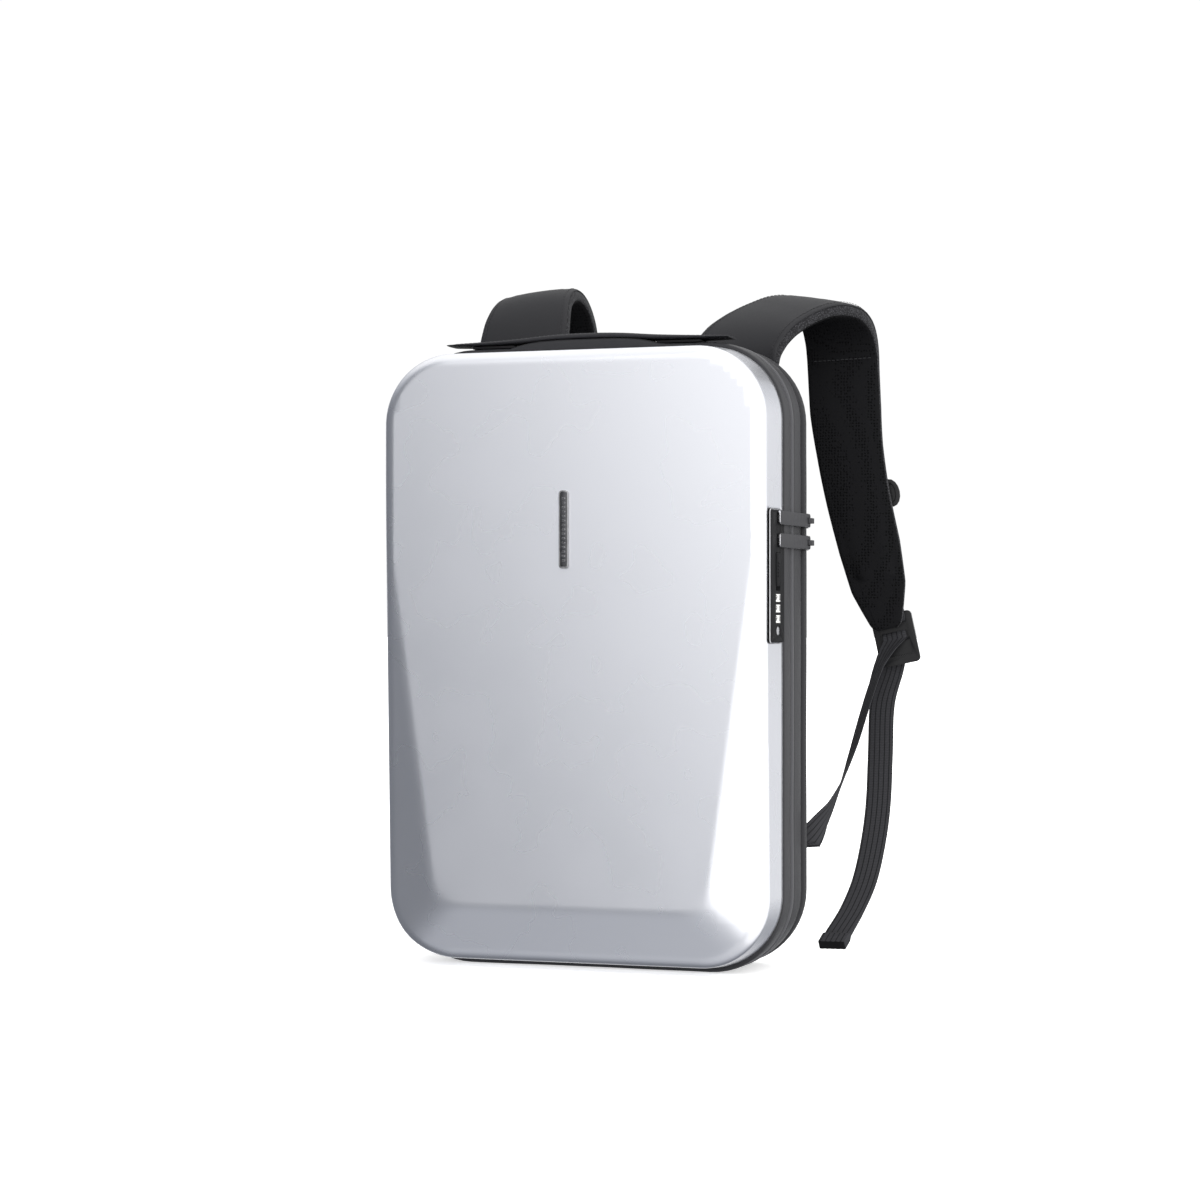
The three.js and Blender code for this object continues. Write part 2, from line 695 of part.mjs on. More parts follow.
function makeSlider(name, height) {
  const base = box(
    bodyWidth / 2 + GAP, crownFoot,
    zipMiddle - zip.sliderWidth / 2, zipMiddle + zip.sliderWidth / 2,
    height - zip.sliderHeight / 2, height + zip.sliderHeight / 2,
  );
  const stem = box(
    bodyWidth / 2 - zip.tapeRecess + zip.coil + GAP, crownFoot - zip.sliderThick / 2,
    zipMiddle - zip.stemWidth / 2, zipMiddle + zip.stemWidth / 2,
    height - zip.stemHeight / 2, height + zip.stemHeight / 2,
  );
  const half = zip.crownSpan / 2;
  const top = zip.crownHeight;
  const bar = zip.crownBar;
  const arch = new THREE.Shape([
    new THREE.Vector2(-half, -bar),
    new THREE.Vector2(half, -bar),
    new THREE.Vector2(half, top - bar),
    new THREE.Vector2(half - bar, top),
    new THREE.Vector2(bar - half, top),
    new THREE.Vector2(-half, top - bar),
  ]);
  const inner = half - bar;
  const cut = zip.crownCut;
  arch.holes.push(new THREE.Path([
    new THREE.Vector2(-inner, 0),
    new THREE.Vector2(inner, 0),
    new THREE.Vector2(inner, top - bar - cut),
    new THREE.Vector2(inner - cut, top - bar),
    new THREE.Vector2(cut - inner, top - bar),
    new THREE.Vector2(-inner, top - bar - cut),
  ]));
  const axes = [new THREE.Vector3(0, 1, 0), new THREE.Vector3(1, 0, 0), new THREE.Vector3(0, 0, -1)];
  const crown = extruded(arch, zip.crownWidth)
    .translate(0, 0, -zip.crownWidth / 2)
    .applyMatrix4(new THREE.Matrix4().makeBasis(...axes))
    .translate(crownFoot, zipMiddle, height);
  const solid = solidOf(base).add(solidOf(stem)).add(solidOf(crown));
  place(name, geometryOf(solid), "gunmetal");
}

function makePull(name, height) {
  const frame = new THREE.Group();
  frame.position.set(hingeX, zipMiddle, height);
  frame.rotation.z = -pullLean;
  group.add(frame);
  const half = zip.pullThick / 2;
  const plate = roundedShape(zip.pullLength + half, zip.pullHeight, zip.pullRound);
  const body3d = facingSide(plate, zip.pullThick).translate(-half, (half - zip.pullLength) / 2, 0);
  const tongueY = -zip.pullLength + zip.tongueMargin + zip.tongueWidth / 2;
  const tongue = box(
    -half - zip.tongueDepth, 0,
    tongueY - zip.tongueWidth / 2, tongueY + zip.tongueWidth / 2,
    -zip.tongueHeight / 2, zip.tongueHeight / 2,
  );
  const eyeHalf = zip.crownWidth / 2 + GAP;
  const eye = box(-REACH, REACH, -zip.eyeReach, -half, -eyeHalf, eyeHalf);
  const solid = solidOf(body3d).add(solidOf(tongue)).subtract(solidOf(eye));
  place(name, geometryOf(solid), "gunmetal", frame);
  frame.updateMatrix();
  return new THREE.Vector3(0, tongueY, 0).applyMatrix4(frame.matrix);
}

function makeZipAndLock() {
  const heights = [zip.middle + zip.pitch / 2, zip.middle - zip.pitch / 2];
  const tips = ["upper", "lower"].map((name, index) => {
    makeSlider(`zip_slider_${name}`, heights[index]);
    return makePull(`zip_pull_${name}`, heights[index]);
  });
  const toLock = lockFrame.matrix.clone().invert();
  const slotY = tips[0].applyMatrix4(toLock).y;
  makeLockHousing(heights.map((height) => height - lock.centre), slotY);
  makeLockParts();
}

// Top handle: sections along its length, each share of the half length, lift of the bow and
// thickness of the middle
const handleSections = [
  { along: 1.0, lift: 0, tip: 1.0, thick: 0.26, width: 0.86 },
  { along: 0.9, lift: 0, tip: 0.5, thick: 0.45, width: 1.0 },
  { along: 0.75, lift: 0.05, tip: 0.1, thick: 0.62, width: 1.0 },
  { along: 0.5, lift: 0.3, tip: 0, thick: 0.8, width: 0.98 },
  { along: 0.28, lift: 0.78, tip: 0, thick: 0.95, width: 0.96 },
  { along: 0.1, lift: 1.0, tip: 0, thick: 1.0, width: 0.96 },
];

function handleRing({ along, lift, tip, thick, width }, side) {
  const x = handle.offset + (side * along * handle.length) / 2;
  const low = bodyHeight + 2 * GAP + handle.seat + lift * handle.bow + tip * handle.tipLift;
  const high = low + thick * handle.thick;
  const cut = (high - low) * handle.cut;
  const half = (handle.width * width) / 2;
  const corners = [
    [half, low + cut], [half, high - cut], [half - cut, high], [cut - half, high],
    [-half, high - cut], [-half, low + cut], [cut - half, low], [half - cut, low],
  ];
  return corners.map(([y, z]) => new THREE.Vector3(x, handle.middleY + y, z));
}

function makeHandle() {
  const left = handleSections.map((row) => handleRing(row, -1));
  const right = handleSections.map((row) => handleRing(row, 1)).reverse();
  place("top_handle", loft([...left, ...right]), "darkCloth");
  for (const [name, side] of [["left", -1], ["right", 1]]) {
    const near = handle.offset + (side * handle.gripLength) / 2;
    const far = near + side * handle.anchorLength;
    const halfWidth = handle.anchorWidth / 2;
    place(`handle_anchor_${name}`, box(
      Math.min(near, far), Math.max(near, far),
      handle.middleY - halfWidth, handle.middleY + halfWidth,
      bodyHeight + GAP, bodyHeight + GAP + handle.seat,
    ), "blackPlastic");
  }
}

// Straps: stations along a curve become rings of an eight-sided flat section. A sheared station
// keeps its width along the direction given, however the strap slants there.

function flatRing(station, previous, next) {
  const tangent = new THREE.Vector3().subVectors(next.point, previous.point).normalize();
  const across = station.across.clone();
  if (!station.sheared) across.addScaledVector(tangent, -across.dot(tangent));
  across.normalize();
  const normal = new THREE.Vector3().crossVectors(across, tangent).normalize();
  const half = station.width / 2;
  const deep = station.thick / 2;
  const cut = Math.min(deep * strap.cutDeep, half * strap.cutWide);
  const corners = [
    [half, cut - deep], [half, deep - cut], [half - cut, deep], [cut - half, deep],
    [-half, deep - cut], [-half, cut - deep], [cut - half, -deep], [half - cut, -deep],
  ];
  return corners.map(([u, v]) =>
    station.point.clone().addScaledVector(across, u).addScaledVector(normal, v));
}

function ribbon(stations) {
  const last = stations.length - 1;
  return loft(stations.map((station, index) =>
    flatRing(station, stations[Math.max(index - 1, 0)], stations[Math.min(index + 1, last)])));
}

// Smooth stations through a few given ones, with the same number of steps between each pair
function smooth(stations, steps) {
  const curve = new THREE.CatmullRomCurve3(stations.map(({ point }) => point));
  const spans = stations.length - 1;
  const result = [];
  for (let index = 0; index <= spans * steps; index += 1) {
    const span = Math.min(Math.floor(index / steps), spans - 1);
    const share = index / steps - span;
    const from = stations[span];
    const to = stations[span + 1];
    result.push({
      point: curve.getPoint(index / (spans * steps)),
      across: from.across.clone().lerp(to.across, share),
      width: THREE.MathUtils.lerp(from.width, to.width, share),
      thick: THREE.MathUtils.lerp(from.thick, to.thick, share),
      sheared: from.sheared,
    });
  }
  return result;
}

function padStations(rows, side) {
  const known = rows.map(({ out, back, level, width, thick, turn, roll }) => {
    const x = side * (strap.spacing / 2 + out * strap.splay);
    const angle = THREE.MathUtils.degToRad(-side * turn);
    const slope = -side * Math.tan(THREE.MathUtils.degToRad(roll));
    const depth = Math.max(back * strap.reach, GAP + (thick * strap.thick) / 2);
    return {
      point: new THREE.Vector3(x, padFace + depth, strap.foot + level * strap.height),
      across: new THREE.Vector3(Math.cos(angle), Math.sin(angle), slope),
      width: width * strap.width,
      thick: thick * strap.thick,
    };
  });
  return smooth(known, PAD_STEPS);
}

// A frame on the strap pad at a station: X across, Y out of its outer face, Z up along it
function stationFrame(stations, index) {
  const from = stations[Math.max(index - 1, 0)].point;
  const to = stations[Math.min(index + 1, stations.length - 1)].point;
  const up = new THREE.Vector3().subVectors(from, to).normalize();
  const across = stations[index].across.clone();
  across.addScaledVector(up, -across.dot(up)).normalize();
  const outward = new THREE.Vector3().crossVectors(up, across);
  const matrix = new THREE.Matrix4().makeBasis(across, outward, up);
  return matrix.setPosition(stations[index].point);
}

// Buckle places in its own frame, whose middle bar is at the origin
const topBarLow = buckle.height / 2 - buckle.topBar;
const footBarHigh = buckle.footBar - buckle.height / 2;
const legOffset = buckle.thick / 2 + GAP + webbing.thick / 2 + buckle.slack;
const lapStand = GAP + buckle.tabThick + GAP + buckle.thick / 2 + buckle.lapClear;

function bucklePlace(padFrame, lapThick, side) {
  const clear = lapThick / 2 + lapStand;
  const shift = new THREE.Matrix4().makeTranslation(side * buckle.side, clear, -buckle.below);
  return padFrame.clone().multiply(shift);
}

function makeBuckle(name, frame) {
  const shape = roundedShape(buckle.width, buckle.height, buckle.round);
  const half = buckle.width / 2 - buckle.rail;
  const slots = [
    [buckle.middleBar / 2, topBarLow],
    [footBarHigh, -buckle.middleBar / 2],
  ];
  for (const [low, high] of slots) {
    shape.holes.push(new THREE.Path([
      new THREE.Vector2(-half, low),
      new THREE.Vector2(half, low),
      new THREE.Vector2(half, high),
      new THREE.Vector2(-half, high),
    ]));
  }
  const plate = facingFront(shape, buckle.thick).translate(0, buckle.thick / 2, 0);
  place(`strap_buckle_${name}`, plate.applyMatrix4(frame), "blackPlastic");
  const barMiddle = buckle.height / 2 - buckle.topBar / 2;
  const barReach = Math.hypot(buckle.topBar, buckle.thick) / 2;
  const inner = barReach + buckle.eyeClear;
  const outer = inner + buckle.eyeWall;
  const eye = new THREE.Shape();
  eye.absarc(0, barMiddle, outer, 0, Math.PI * 2);
  const opening = new THREE.Path();
  opening.absarc(0, barMiddle, inner, 0, Math.PI * 2);
  eye.holes.push(opening);
  const halfTab = buckle.tabWidth / 2;
  const ring = extruded(eye, buckle.tabWidth);
  ring.applyMatrix4(new THREE.Matrix4().makeBasis(
    new THREE.Vector3(0, 1, 0), new THREE.Vector3(0, 0, 1), new THREE.Vector3(1, 0, 0)));
  ring.translate(-halfTab, 0, 0);
  const lapLow = GAP - lapStand;
  const strip = box(
    -halfTab, halfTab,
    lapLow, Math.max(lapLow + buckle.tabThick, -inner - GAP),
    barMiddle, barMiddle + buckle.tabLap,
  );
  const tab = solidOf(ring).add(solidOf(strip));
  place(`strap_end_tab_${name}`, geometryOf(tab).applyMatrix4(frame), "darkCloth");
}

function webbingStations(frame, tabPoint, tail, side) {
  const local = (y, z) => new THREE.Vector3(0, y, z).applyMatrix4(frame);
  const across = new THREE.Vector3().setFromMatrixColumn(frame, 0);
  const size = { width: webbing.width, thick: webbing.thick, sheared: true };
  const exit = -buckle.height / 2 - REACH / 2;
  const run = new THREE.Vector3().subVectors(local(-legOffset, 0), tabPoint);
  const load = loadLeg.map(({ along, out, back, turn }) => {
    const point = tabPoint.clone().addScaledVector(run, along);
    point.x += side * out * run.length();
    point.y += back * run.length();
    const angle = -side * THREE.MathUtils.degToRad(turn * webbing.twist);
    const turned = across.clone().applyAxisAngle(run.clone().normalize(), angle);
    return { point, across: turned, ...size };
  });
  load.push({ point: local(-legOffset, 0), across, ...size });
  const flat = new THREE.Vector3(-1, 0, 0);
  for (const share of cornerTab.lapShares) {
    const lapped = tabPoint.clone().setZ(tabPoint.z - share * cornerTab.height);
    load.unshift({ point: lapped, across: flat, ...size });
  }
  const turnCentre = buckle.middleBar / 2;
  const turn = [];
  for (let step = 0; step <= TURN_STEPS; step += 1) {
    const angle = (step / TURN_STEPS) * Math.PI;
    const y = -legOffset * Math.cos(angle);
    const z = turnCentre + legOffset * Math.sin(angle);
    turn.push({ point: local(y, z), across, ...size });
  }
  const free = [footBarHigh, exit].map((z) => {
    const drift = side * buckle.drift * z;
    return { point: new THREE.Vector3(drift, legOffset, z).applyMatrix4(frame), across, ...size };
  });
  const start = free[1].point;
  const floor = webbing.clearFloor + webbing.hemThick / 2;
  const drop = start.z - floor;
  const level = new THREE.Vector3(across.x, across.y, 0).normalize();
  for (const row of tail) {
    const point = new THREE.Vector3(
      start.x - side * row.in * drop,
      start.y - row.forward * drop,
      floor + row.level * drop,
    );
    const hem = row.level * drop < webbing.hemLength;
    const thick = hem ? webbing.hemThick : webbing.thick;
    free.push({ point, across: level, ...size, thick });
  }
  return [...smooth(load, WEB_STEPS), ...turn, ...smooth(free, WEB_STEPS)];
}

function makeKeeper(name, stations, side) {
  const heights = stations.map(({ point }) => point.z);
  const wanted = strap.foot + keeper.level * strap.height;
  const index = heights.findIndex((z, at) => at > stations.length / 2 && z < wanted);
  const frame = stationFrame(stations, index);
  const edge = stations[index].width / 2;
  const half = keeper.height / 2;
  const inner = edge - keeper.plateWidth;
  const shape = new THREE.Shape();
  shape.moveTo(inner, half);
  shape.lineTo(inner, -half);
  shape.lineTo(edge, -half);
  shape.absellipse(edge, 0, keeper.standOut, half, -Math.PI / 2, Math.PI / 2);
  const hole = new THREE.Path();
  hole.moveTo(edge - keeper.bar, half - keeper.bar);
  hole.lineTo(edge - keeper.bar, keeper.bar - half);
  hole.lineTo(edge, keeper.bar - half);
  hole.absellipse(edge, 0, keeper.standOut - keeper.bar, half - keeper.bar, -Math.PI / 2,
    Math.PI / 2);
  shape.holes.push(hole);
  const plate = facingFront(shape, keeper.thick);
  plate.translate(0, keeper.thick + stations[index].thick / 2 + GAP, 0);
  if (side < 0) plate.rotateY(Math.PI);
  place(`strap_keeper_${name}`, plate.applyMatrix4(frame), "blackPlastic");
}

function makeStraps() {
  for (const [name, side, rows, tail] of [
    ["left", -1, leftPad, tailLeft],
    ["right", 1, rightPad, tailRight],
  ]) {
    const stations = padStations(rows, side);
    place(`strap_pad_${name}`, ribbon(stations), "meshCloth");
    makeKeeper(name, stations, side);
    const end = stations.length - 1;
    const lapThick = stations[end - 2 * PAD_STEPS].thick;
    const frame = bucklePlace(stationFrame(stations, end), lapThick, side);
    makeBuckle(name, frame);
    const tabX = side * (bodyWidth / 2 - cornerTab.side);
    const tabY = frameBack + GAP;
    const tab = box(
      -cornerTab.width / 2, cornerTab.width / 2,
      0, cornerTab.thick,
      0, cornerTab.height,
    ).translate(tabX, tabY, cornerTab.level);
    place(`corner_tab_${name}`, tab, "darkCloth");
    const lapY = tabY + cornerTab.thick + GAP + cornerTab.slack + webbing.thick / 2;
    const tabPoint = new THREE.Vector3(tabX, lapY, cornerTab.level + cornerTab.height);
    place(`strap_webbing_${name}`, ribbon(webbingStations(frame, tabPoint, tail, side)),
      "darkCloth");
  }
}

makeShell();
makeBadge();
makeBody();
makeZipAndLock();
makeHandle();
makeStraps();

export default group;
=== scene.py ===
"""Hard shell backpack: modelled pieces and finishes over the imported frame.

Sizes are in millimetres, and each mesh is brought to metres when its piece is made.
"""

import logging
import math
from collections.abc import Callable, Iterable, Sequence
from dataclasses import dataclass
from enum import Enum

import bmesh
import bpy
import numpy
from bmesh.types import BMEdge, BMesh, BMVert
from mathutils import Matrix, Vector, noise


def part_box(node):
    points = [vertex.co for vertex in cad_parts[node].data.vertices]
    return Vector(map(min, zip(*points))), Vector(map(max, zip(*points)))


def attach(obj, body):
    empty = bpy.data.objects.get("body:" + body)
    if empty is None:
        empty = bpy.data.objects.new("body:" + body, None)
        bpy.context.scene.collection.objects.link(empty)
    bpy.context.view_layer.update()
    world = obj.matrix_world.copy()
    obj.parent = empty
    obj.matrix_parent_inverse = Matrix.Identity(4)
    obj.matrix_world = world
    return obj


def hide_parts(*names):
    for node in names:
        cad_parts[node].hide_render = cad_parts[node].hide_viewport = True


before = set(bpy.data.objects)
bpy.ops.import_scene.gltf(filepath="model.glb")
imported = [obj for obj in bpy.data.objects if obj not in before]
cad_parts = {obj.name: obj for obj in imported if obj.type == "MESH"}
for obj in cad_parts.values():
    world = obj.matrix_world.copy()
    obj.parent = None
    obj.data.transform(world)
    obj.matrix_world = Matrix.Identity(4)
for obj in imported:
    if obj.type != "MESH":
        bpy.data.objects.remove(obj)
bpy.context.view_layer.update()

LOG = logging.getLogger("backpack")
MM = 0.001
FRONT = Vector((0.0, -1.0, 0.0))
REAR = Vector((0.0, 1.0, 0.0))
UP = Vector((0.0, 0.0, 1.0))
SIDEWAYS = Vector((1.0, 0.0, 0.0))
# Points closer than this are taken for one.
CLOSE = 0.0005
# Stations at each end of a strap or the handle that carry no stitches.
BARE_END = 4
# Keeps the ripples of the cloth the same in each run.
RIPPLE_SEED = 199
Colour = tuple[float, float, float]
WHITE: Colour = (1.0, 1.0, 1.0)
# Inset and depth of the points of a section, in order.
Section = Sequence[tuple[float, float]]


class Side(Enum):
    """The two sides of the bag, as seen from the front."""

    LEFT = "left"
    RIGHT = "right"


class Slot(Enum):
    """Material slots of the record."""

    SHELL = "shell"
    BADGE_RIM = "badge_rim"
    BADGE_FACE = "badge_face"
    LOCK_BLACK = "lock_black"
    DIAL_WHITE = "dial_white"
    KEY_METAL = "key_metal"
    BODY_CLOTH = "body_cloth"
    ZIP_CLOTH = "zip_cloth"
    ZIP_METAL = "zip_metal"
    MESH_CLOTH = "mesh_cloth"
    HANDLE_CLOTH = "handle_cloth"
    WEB_CLOTH = "web_cloth"
    BUCKLE_BLACK = "buckle_black"


# Shader tools


class Wire:
    """A number that flows through a shader, and adds Math nodes as it is reckoned with."""

    def __init__(self, shader: "Shader", socket: bpy.types.NodeSocket) -> None:
        """Keeps the shader and the socket that the number comes from."""
        self.shader = shader
        self.socket = socket

    def _math(self, operation: str, *values: "Wire | float") -> "Wire":
        """Adds one Math node.

        Args:
            operation: the node's operation.
            values: its inputs in order.

        Returns:
            The node's result.
        """
        node = self.shader.add(
            "ShaderNodeMath", {"operation": operation}, dict(enumerate(values))
        )
        return Wire(self.shader, node.outputs[0])

    def __add__(self, other: "Wire | float") -> "Wire":
        """Sum."""
        return self._math("ADD", self, other)

    def __radd__(self, other: float) -> "Wire":
        """Sum, from the right."""
        return self._math("ADD", other, self)

    def __sub__(self, other: "Wire | float") -> "Wire":
        """Difference."""
        return self._math("SUBTRACT", self, other)

    def __rsub__(self, other: float) -> "Wire":
        """Difference, from the right."""
        return self._math("SUBTRACT", other, self)

    def __mul__(self, other: "Wire | float") -> "Wire":
        """Product."""
        return self._math("MULTIPLY", self, other)

    def __rmul__(self, other: float) -> "Wire":
        """Product, from the right."""
        return self._math("MULTIPLY", other, self)

    def sine(self) -> "Wire":
        """Sine of an angle in radians."""
        return self._math("SINE", self)

    def size(self) -> "Wire":
        """The number without its sign."""
        return self._math("ABSOLUTE", self)

    def most(self, other: "Wire | float") -> "Wire":
        """The greater of two numbers."""
        return self._math("MAXIMUM", self, other)

    def ramp(self, low: float, high: float) -> "Wire":
        """Rises smoothly from 0 to 1 between two levels.

        Args:
            low: level that gives 0.
            high: level that gives 1.

        Returns:
            The share between them.
        """
        node = self.shader.add(
            "ShaderNodeMapRange",
            {"interpolation_type": "SMOOTHSTEP"},
            {"Value": self, "From Min": low, "From Max": high},
        )
        return Wire(self.shader, node.outputs[0])


class Shader:
    """The node tree of a finish or of the surroundings."""

    def __init__(self, owner: bpy.types.Material | bpy.types.World, surface: str) -> None:
        """Turns on the owner's nodes, and finds the node of its surface by name."""
        owner.use_nodes = True
        self.tree = owner.node_tree
        self.surface = self.tree.nodes[surface]

    def feed(self, socket: bpy.types.NodeSocket, value: object) -> None:
        """Links or sets one input.

        Args:
            socket: the input.
            value: a Wire, a socket, or a plain value.
        """
        if isinstance(value, Wire):
            self.tree.links.new(value.socket, socket)
        elif isinstance(value, bpy.types.NodeSocket):
            self.tree.links.new(value, socket)
        else:
            socket.default_value = value

    def dress(self, sockets: dict[str, object]) -> None:
        """Links or sets inputs of the surface by their names."""
        for name, value in sockets.items():
            self.feed(self.surface.inputs[name], value)

    def add(
        self,
        kind: str,
        settings: dict[str, object] | None = None,
        sockets: dict[str | int, object] | None = None,
    ) -> bpy.types.Node:
        """Adds a node of any type.

        Args:
            kind: the node's type.
            settings: its properties, set first.
            sockets: values or links of its inputs.

        Returns:
            The node.
        """
        node = self.tree.nodes.new(kind)
        for key, value in (settings or {}).items():
            setattr(node, key, value)
        for key, value in (sockets or {}).items():
            self.feed(node.inputs[key], value)
        return node

    def vector(self) -> bpy.types.NodeSocket:
        """The point on the object in millimetres."""
        place = self.add("ShaderNodeTexCoord")
        scaled = self.add(
            "ShaderNodeVectorMath",
            {"operation": "SCALE"},
            {0: place.outputs["Object"], "Scale": 1 / MM},
        )
        return scaled.outputs[0]

    def point(self) -> tuple[Wire, Wire, Wire]:
        """The point on the object in millimetres, as x, y and z."""
        parts = self.add("ShaderNodeSeparateXYZ", None, {0: self.vector()})
        return tuple(Wire(self, output) for output in parts.outputs)

    def cloth(self) -> tuple[Wire, Wire]:
        """The point on the piece's own cloth in millimetres, across and along."""
        spread = self.add("ShaderNodeUVMap", {"uv_map": "cloth"})
        parts = self.add("ShaderNodeSeparateXYZ", None, {0: spread.outputs[0]})
        across = Wire(self, parts.outputs[0])
        along = Wire(self, parts.outputs[1])
        return across * (1 / MM), along * (1 / MM)

    def grain(self, scale: float, detail: float = 2.0) -> Wire:
        """Smooth noise on the object.

        Args:
            scale: cells per millimetre.
            detail: finer layers added to it.

        Returns:
            The noise from 0 to 1.
        """
        node = self.add(
            "ShaderNodeTexNoise",
            None,
            {"Vector": self.vector(), "Scale": scale, "Detail": detail},
        )
        return Wire(self, node.outputs[0])

    def cells(self, scale: float, randomness: float) -> Wire:
        """Distance to the nearest of the points scattered over the object.

        Args:
            scale: points per millimetre.
            randomness: from 0, in rows, to 1.

        Returns:
            The distance.
        """
        node = self.add(
            "ShaderNodeTexVoronoi",
            None,
            {"Vector": self.vector(), "Scale": scale, "Randomness": randomness},
        )
        return Wire(self, node.outputs[0])

    def blend(self, share: Wire, low: Colour, high: Colour) -> bpy.types.NodeSocket:
        """Colour between two others.

        Args:
            share: 0 gives low and 1 gives high.
            low: first colour.
            high: second colour.

        Returns:
            The colour's socket.
        """
        node = self.add(
            "ShaderNodeMix",
            {"data_type": "RGBA"},
            {0: share, 6: (*low, 1.0), 7: (*high, 1.0)},
        )
        return node.outputs[2]

    def relief(self, height: Wire, depth: float, strength: float = 1.0) -> None:
        """Raises the surface by a pattern.

        Args:
            height: the pattern.
            depth: millimetres per unit of the pattern.
            strength: share of the effect.
        """
        under = self.surface.inputs["Normal"].links
        sockets = {"Height": height, "Distance": depth * MM, "Strength": strength}
        if under:
            sockets["Normal"] = under[0].from_socket
        bump = self.add("ShaderNodeBump", None, sockets)
        self.dress({"Normal": bump.outputs[0]})


# Finishes


@dataclass(frozen=True)
class Finish:
    """A plain finish with a fine grain.

    Attributes:
        name: the material's name.
        colour: its base colour.
        rough: roughness from 0 to 1.
        metal: metallic share.
        coat: clear coat's weight.
        sheen: cloth sheen's weight.
        coat_rough: the coat's roughness.
        sheen_rough: the sheen's roughness.
        gloss: how strongly it mirrors, 0.5 for plain plastic.
        vary: how far colour and roughness wander, as a share.
    """

    name: str
    colour: Colour
    rough: float
    metal: float = 0.0
    coat: float = 0.0
    sheen: float = 0.0
    coat_rough: float = 0.12
    sheen_rough: float = 0.45
    gloss: float = 0.5
    vary: float = 0.1

    def shades(self, spread: float) -> tuple[Colour, Colour]:
        """Two colours that lie a share below and above the finish's own."""
        low = tuple(part * (1 - spread) for part in self.colour)
        high = tuple(min(part * (1 + spread), 1.0) for part in self.colour)
        return low, high

    def material(self) -> bpy.types.Material:
        """The material, made once and then kept by its name.

        Returns:
            The material.
        """
        known = bpy.data.materials.get(self.name)
        if known:
            return known
        material = bpy.data.materials.new(self.name)
        shader = Shader(material, "Principled BSDF")
        shader.dress({
            "Metallic": self.metal,
            "Coat Weight": self.coat,
            "Coat Roughness": self.coat_rough,
            "Sheen Weight": self.sheen,
            "Sheen Roughness": self.sheen_rough,
            "Specular IOR Level": self.gloss,
        })
        self.paint(shader)
        return material

    def paint(self, shader: Shader) -> None:
        """Colour, roughness and relief: a fine grain with slow drifts of tone."""
        drift = shader.grain(0.05, 3.0)
        shader.dress({
            "Base Color": shader.blend(drift, *self.shades(self.vary)),
            "Roughness": drift * (self.rough * self.vary * 2) + self.rough * (1 - self.vary),
        })
        shader.relief(shader.grain(2.2, 3.0), 0.03, 0.5)


@dataclass(frozen=True)
class Lacquer(Finish):
    """Pearly silver lacquer on a moulded shell.

    Attributes:
        flake: colour of the fine flakes in it.
    """

    flake: Colour = (0.95, 0.96, 1.0)

    def paint(self, shader: Shader) -> None:
        """Fine flakes in a satin coat with the faint waves of moulded plastic."""
        flakes = shader.cells(3.5, 1.0).ramp(0.16, 0.06)
        shader.dress({
            "Base Color": shader.blend(flakes * 0.1, self.colour, self.flake),
            "Roughness": shader.grain(0.02, 2.0) * 0.05 + (self.rough - 0.02),
        })
        shader.relief(shader.grain(0.8, 2.0), 0.004, 0.3)


@dataclass(frozen=True)
class FloorPaper(Finish):
    """White floor that glows by itself as painted light, less beside the bag, and fades into
    the white behind it.

    Attributes:
        near: distance from the bag where the fade starts, in millimetres.
        far: distance where it ends.
        least: share of its painted glow beside the bag, where the lamps' shadow on it shows.
        glow: strength of its painted glow, which it has in full far from the bag.
    """

    near: float = 250.0
    far: float = 900.0
    least: float = 0.6
    glow: float = 0.9

    def paint(self, shader: Shader) -> None:
        """One tone, with a painted glow that grows brighter with the distance from the bag."""
        x, y, _ = shader.point()
        share = (x * x + y * y).ramp(self.near * self.near, self.far * self.far)
        shader.dress({
            "Base Color": (*self.colour, 1.0),
            "Roughness": self.rough,
            # Painted glow: the floor lights itself, less beside the bag.
            "Emission Strength": self.glow,
            "Emission Color": shader.blend(share, (self.least,) * 3, WHITE),
        })


@dataclass(frozen=True)
class BrushedMetal(Finish):
    """Metal with fine brushed lines."""

    def paint(self, shader: Shader) -> None:
        """Lines along the height of the bag, with worn patches."""
        x, y, _ = shader.point()
        lines = ((x * 9.0 + y * 7.0).sine() * (x * 23.0 - y * 19.0).sine()) * 0.5 + 0.5
        worn = shader.grain(0.25, 4.0).ramp(0.35, 0.75)
        tone = lines * 0.5 + worn * 0.5
        shader.dress({
            "Base Color": shader.blend(tone, *self.shades(self.vary)),
            "Roughness": worn * 0.15 + (self.rough - 0.05),
        })
        shader.relief(lines, 0.01, 0.3)


@dataclass(frozen=True)
class Weave(Finish):
    """Coated woven cloth.

    Attributes:
        pitch: millimetres from one thread to the next.
        depth: how deep the threads stand, in millimetres.
        slub: how much the threads differ.
    """

    pitch: float = 0.9
    depth: float = 0.05
    slub: float = 0.25

    def paint(self, shader: Shader) -> None:
        """Crossing threads on the cloth's own map, with slow creases under them."""
        across, along = shader.cloth()
        turn = 2 * math.pi / self.pitch
        threads = ((across * turn).sine() * (along * turn).sine()) * 0.5 + 0.5
        uneven = shader.grain(0.6, 4.0)
        height = threads * (1 - self.slub) + uneven * self.slub
        shader.dress({
            "Base Color": shader.blend(height, *self.shades(self.vary)),
            "Roughness": height * -0.1 + (self.rough + 0.05),
        })
        shader.relief(shader.grain(0.035, 2.0), 1.2, 0.35)
        shader.relief(height, self.depth, 0.7)


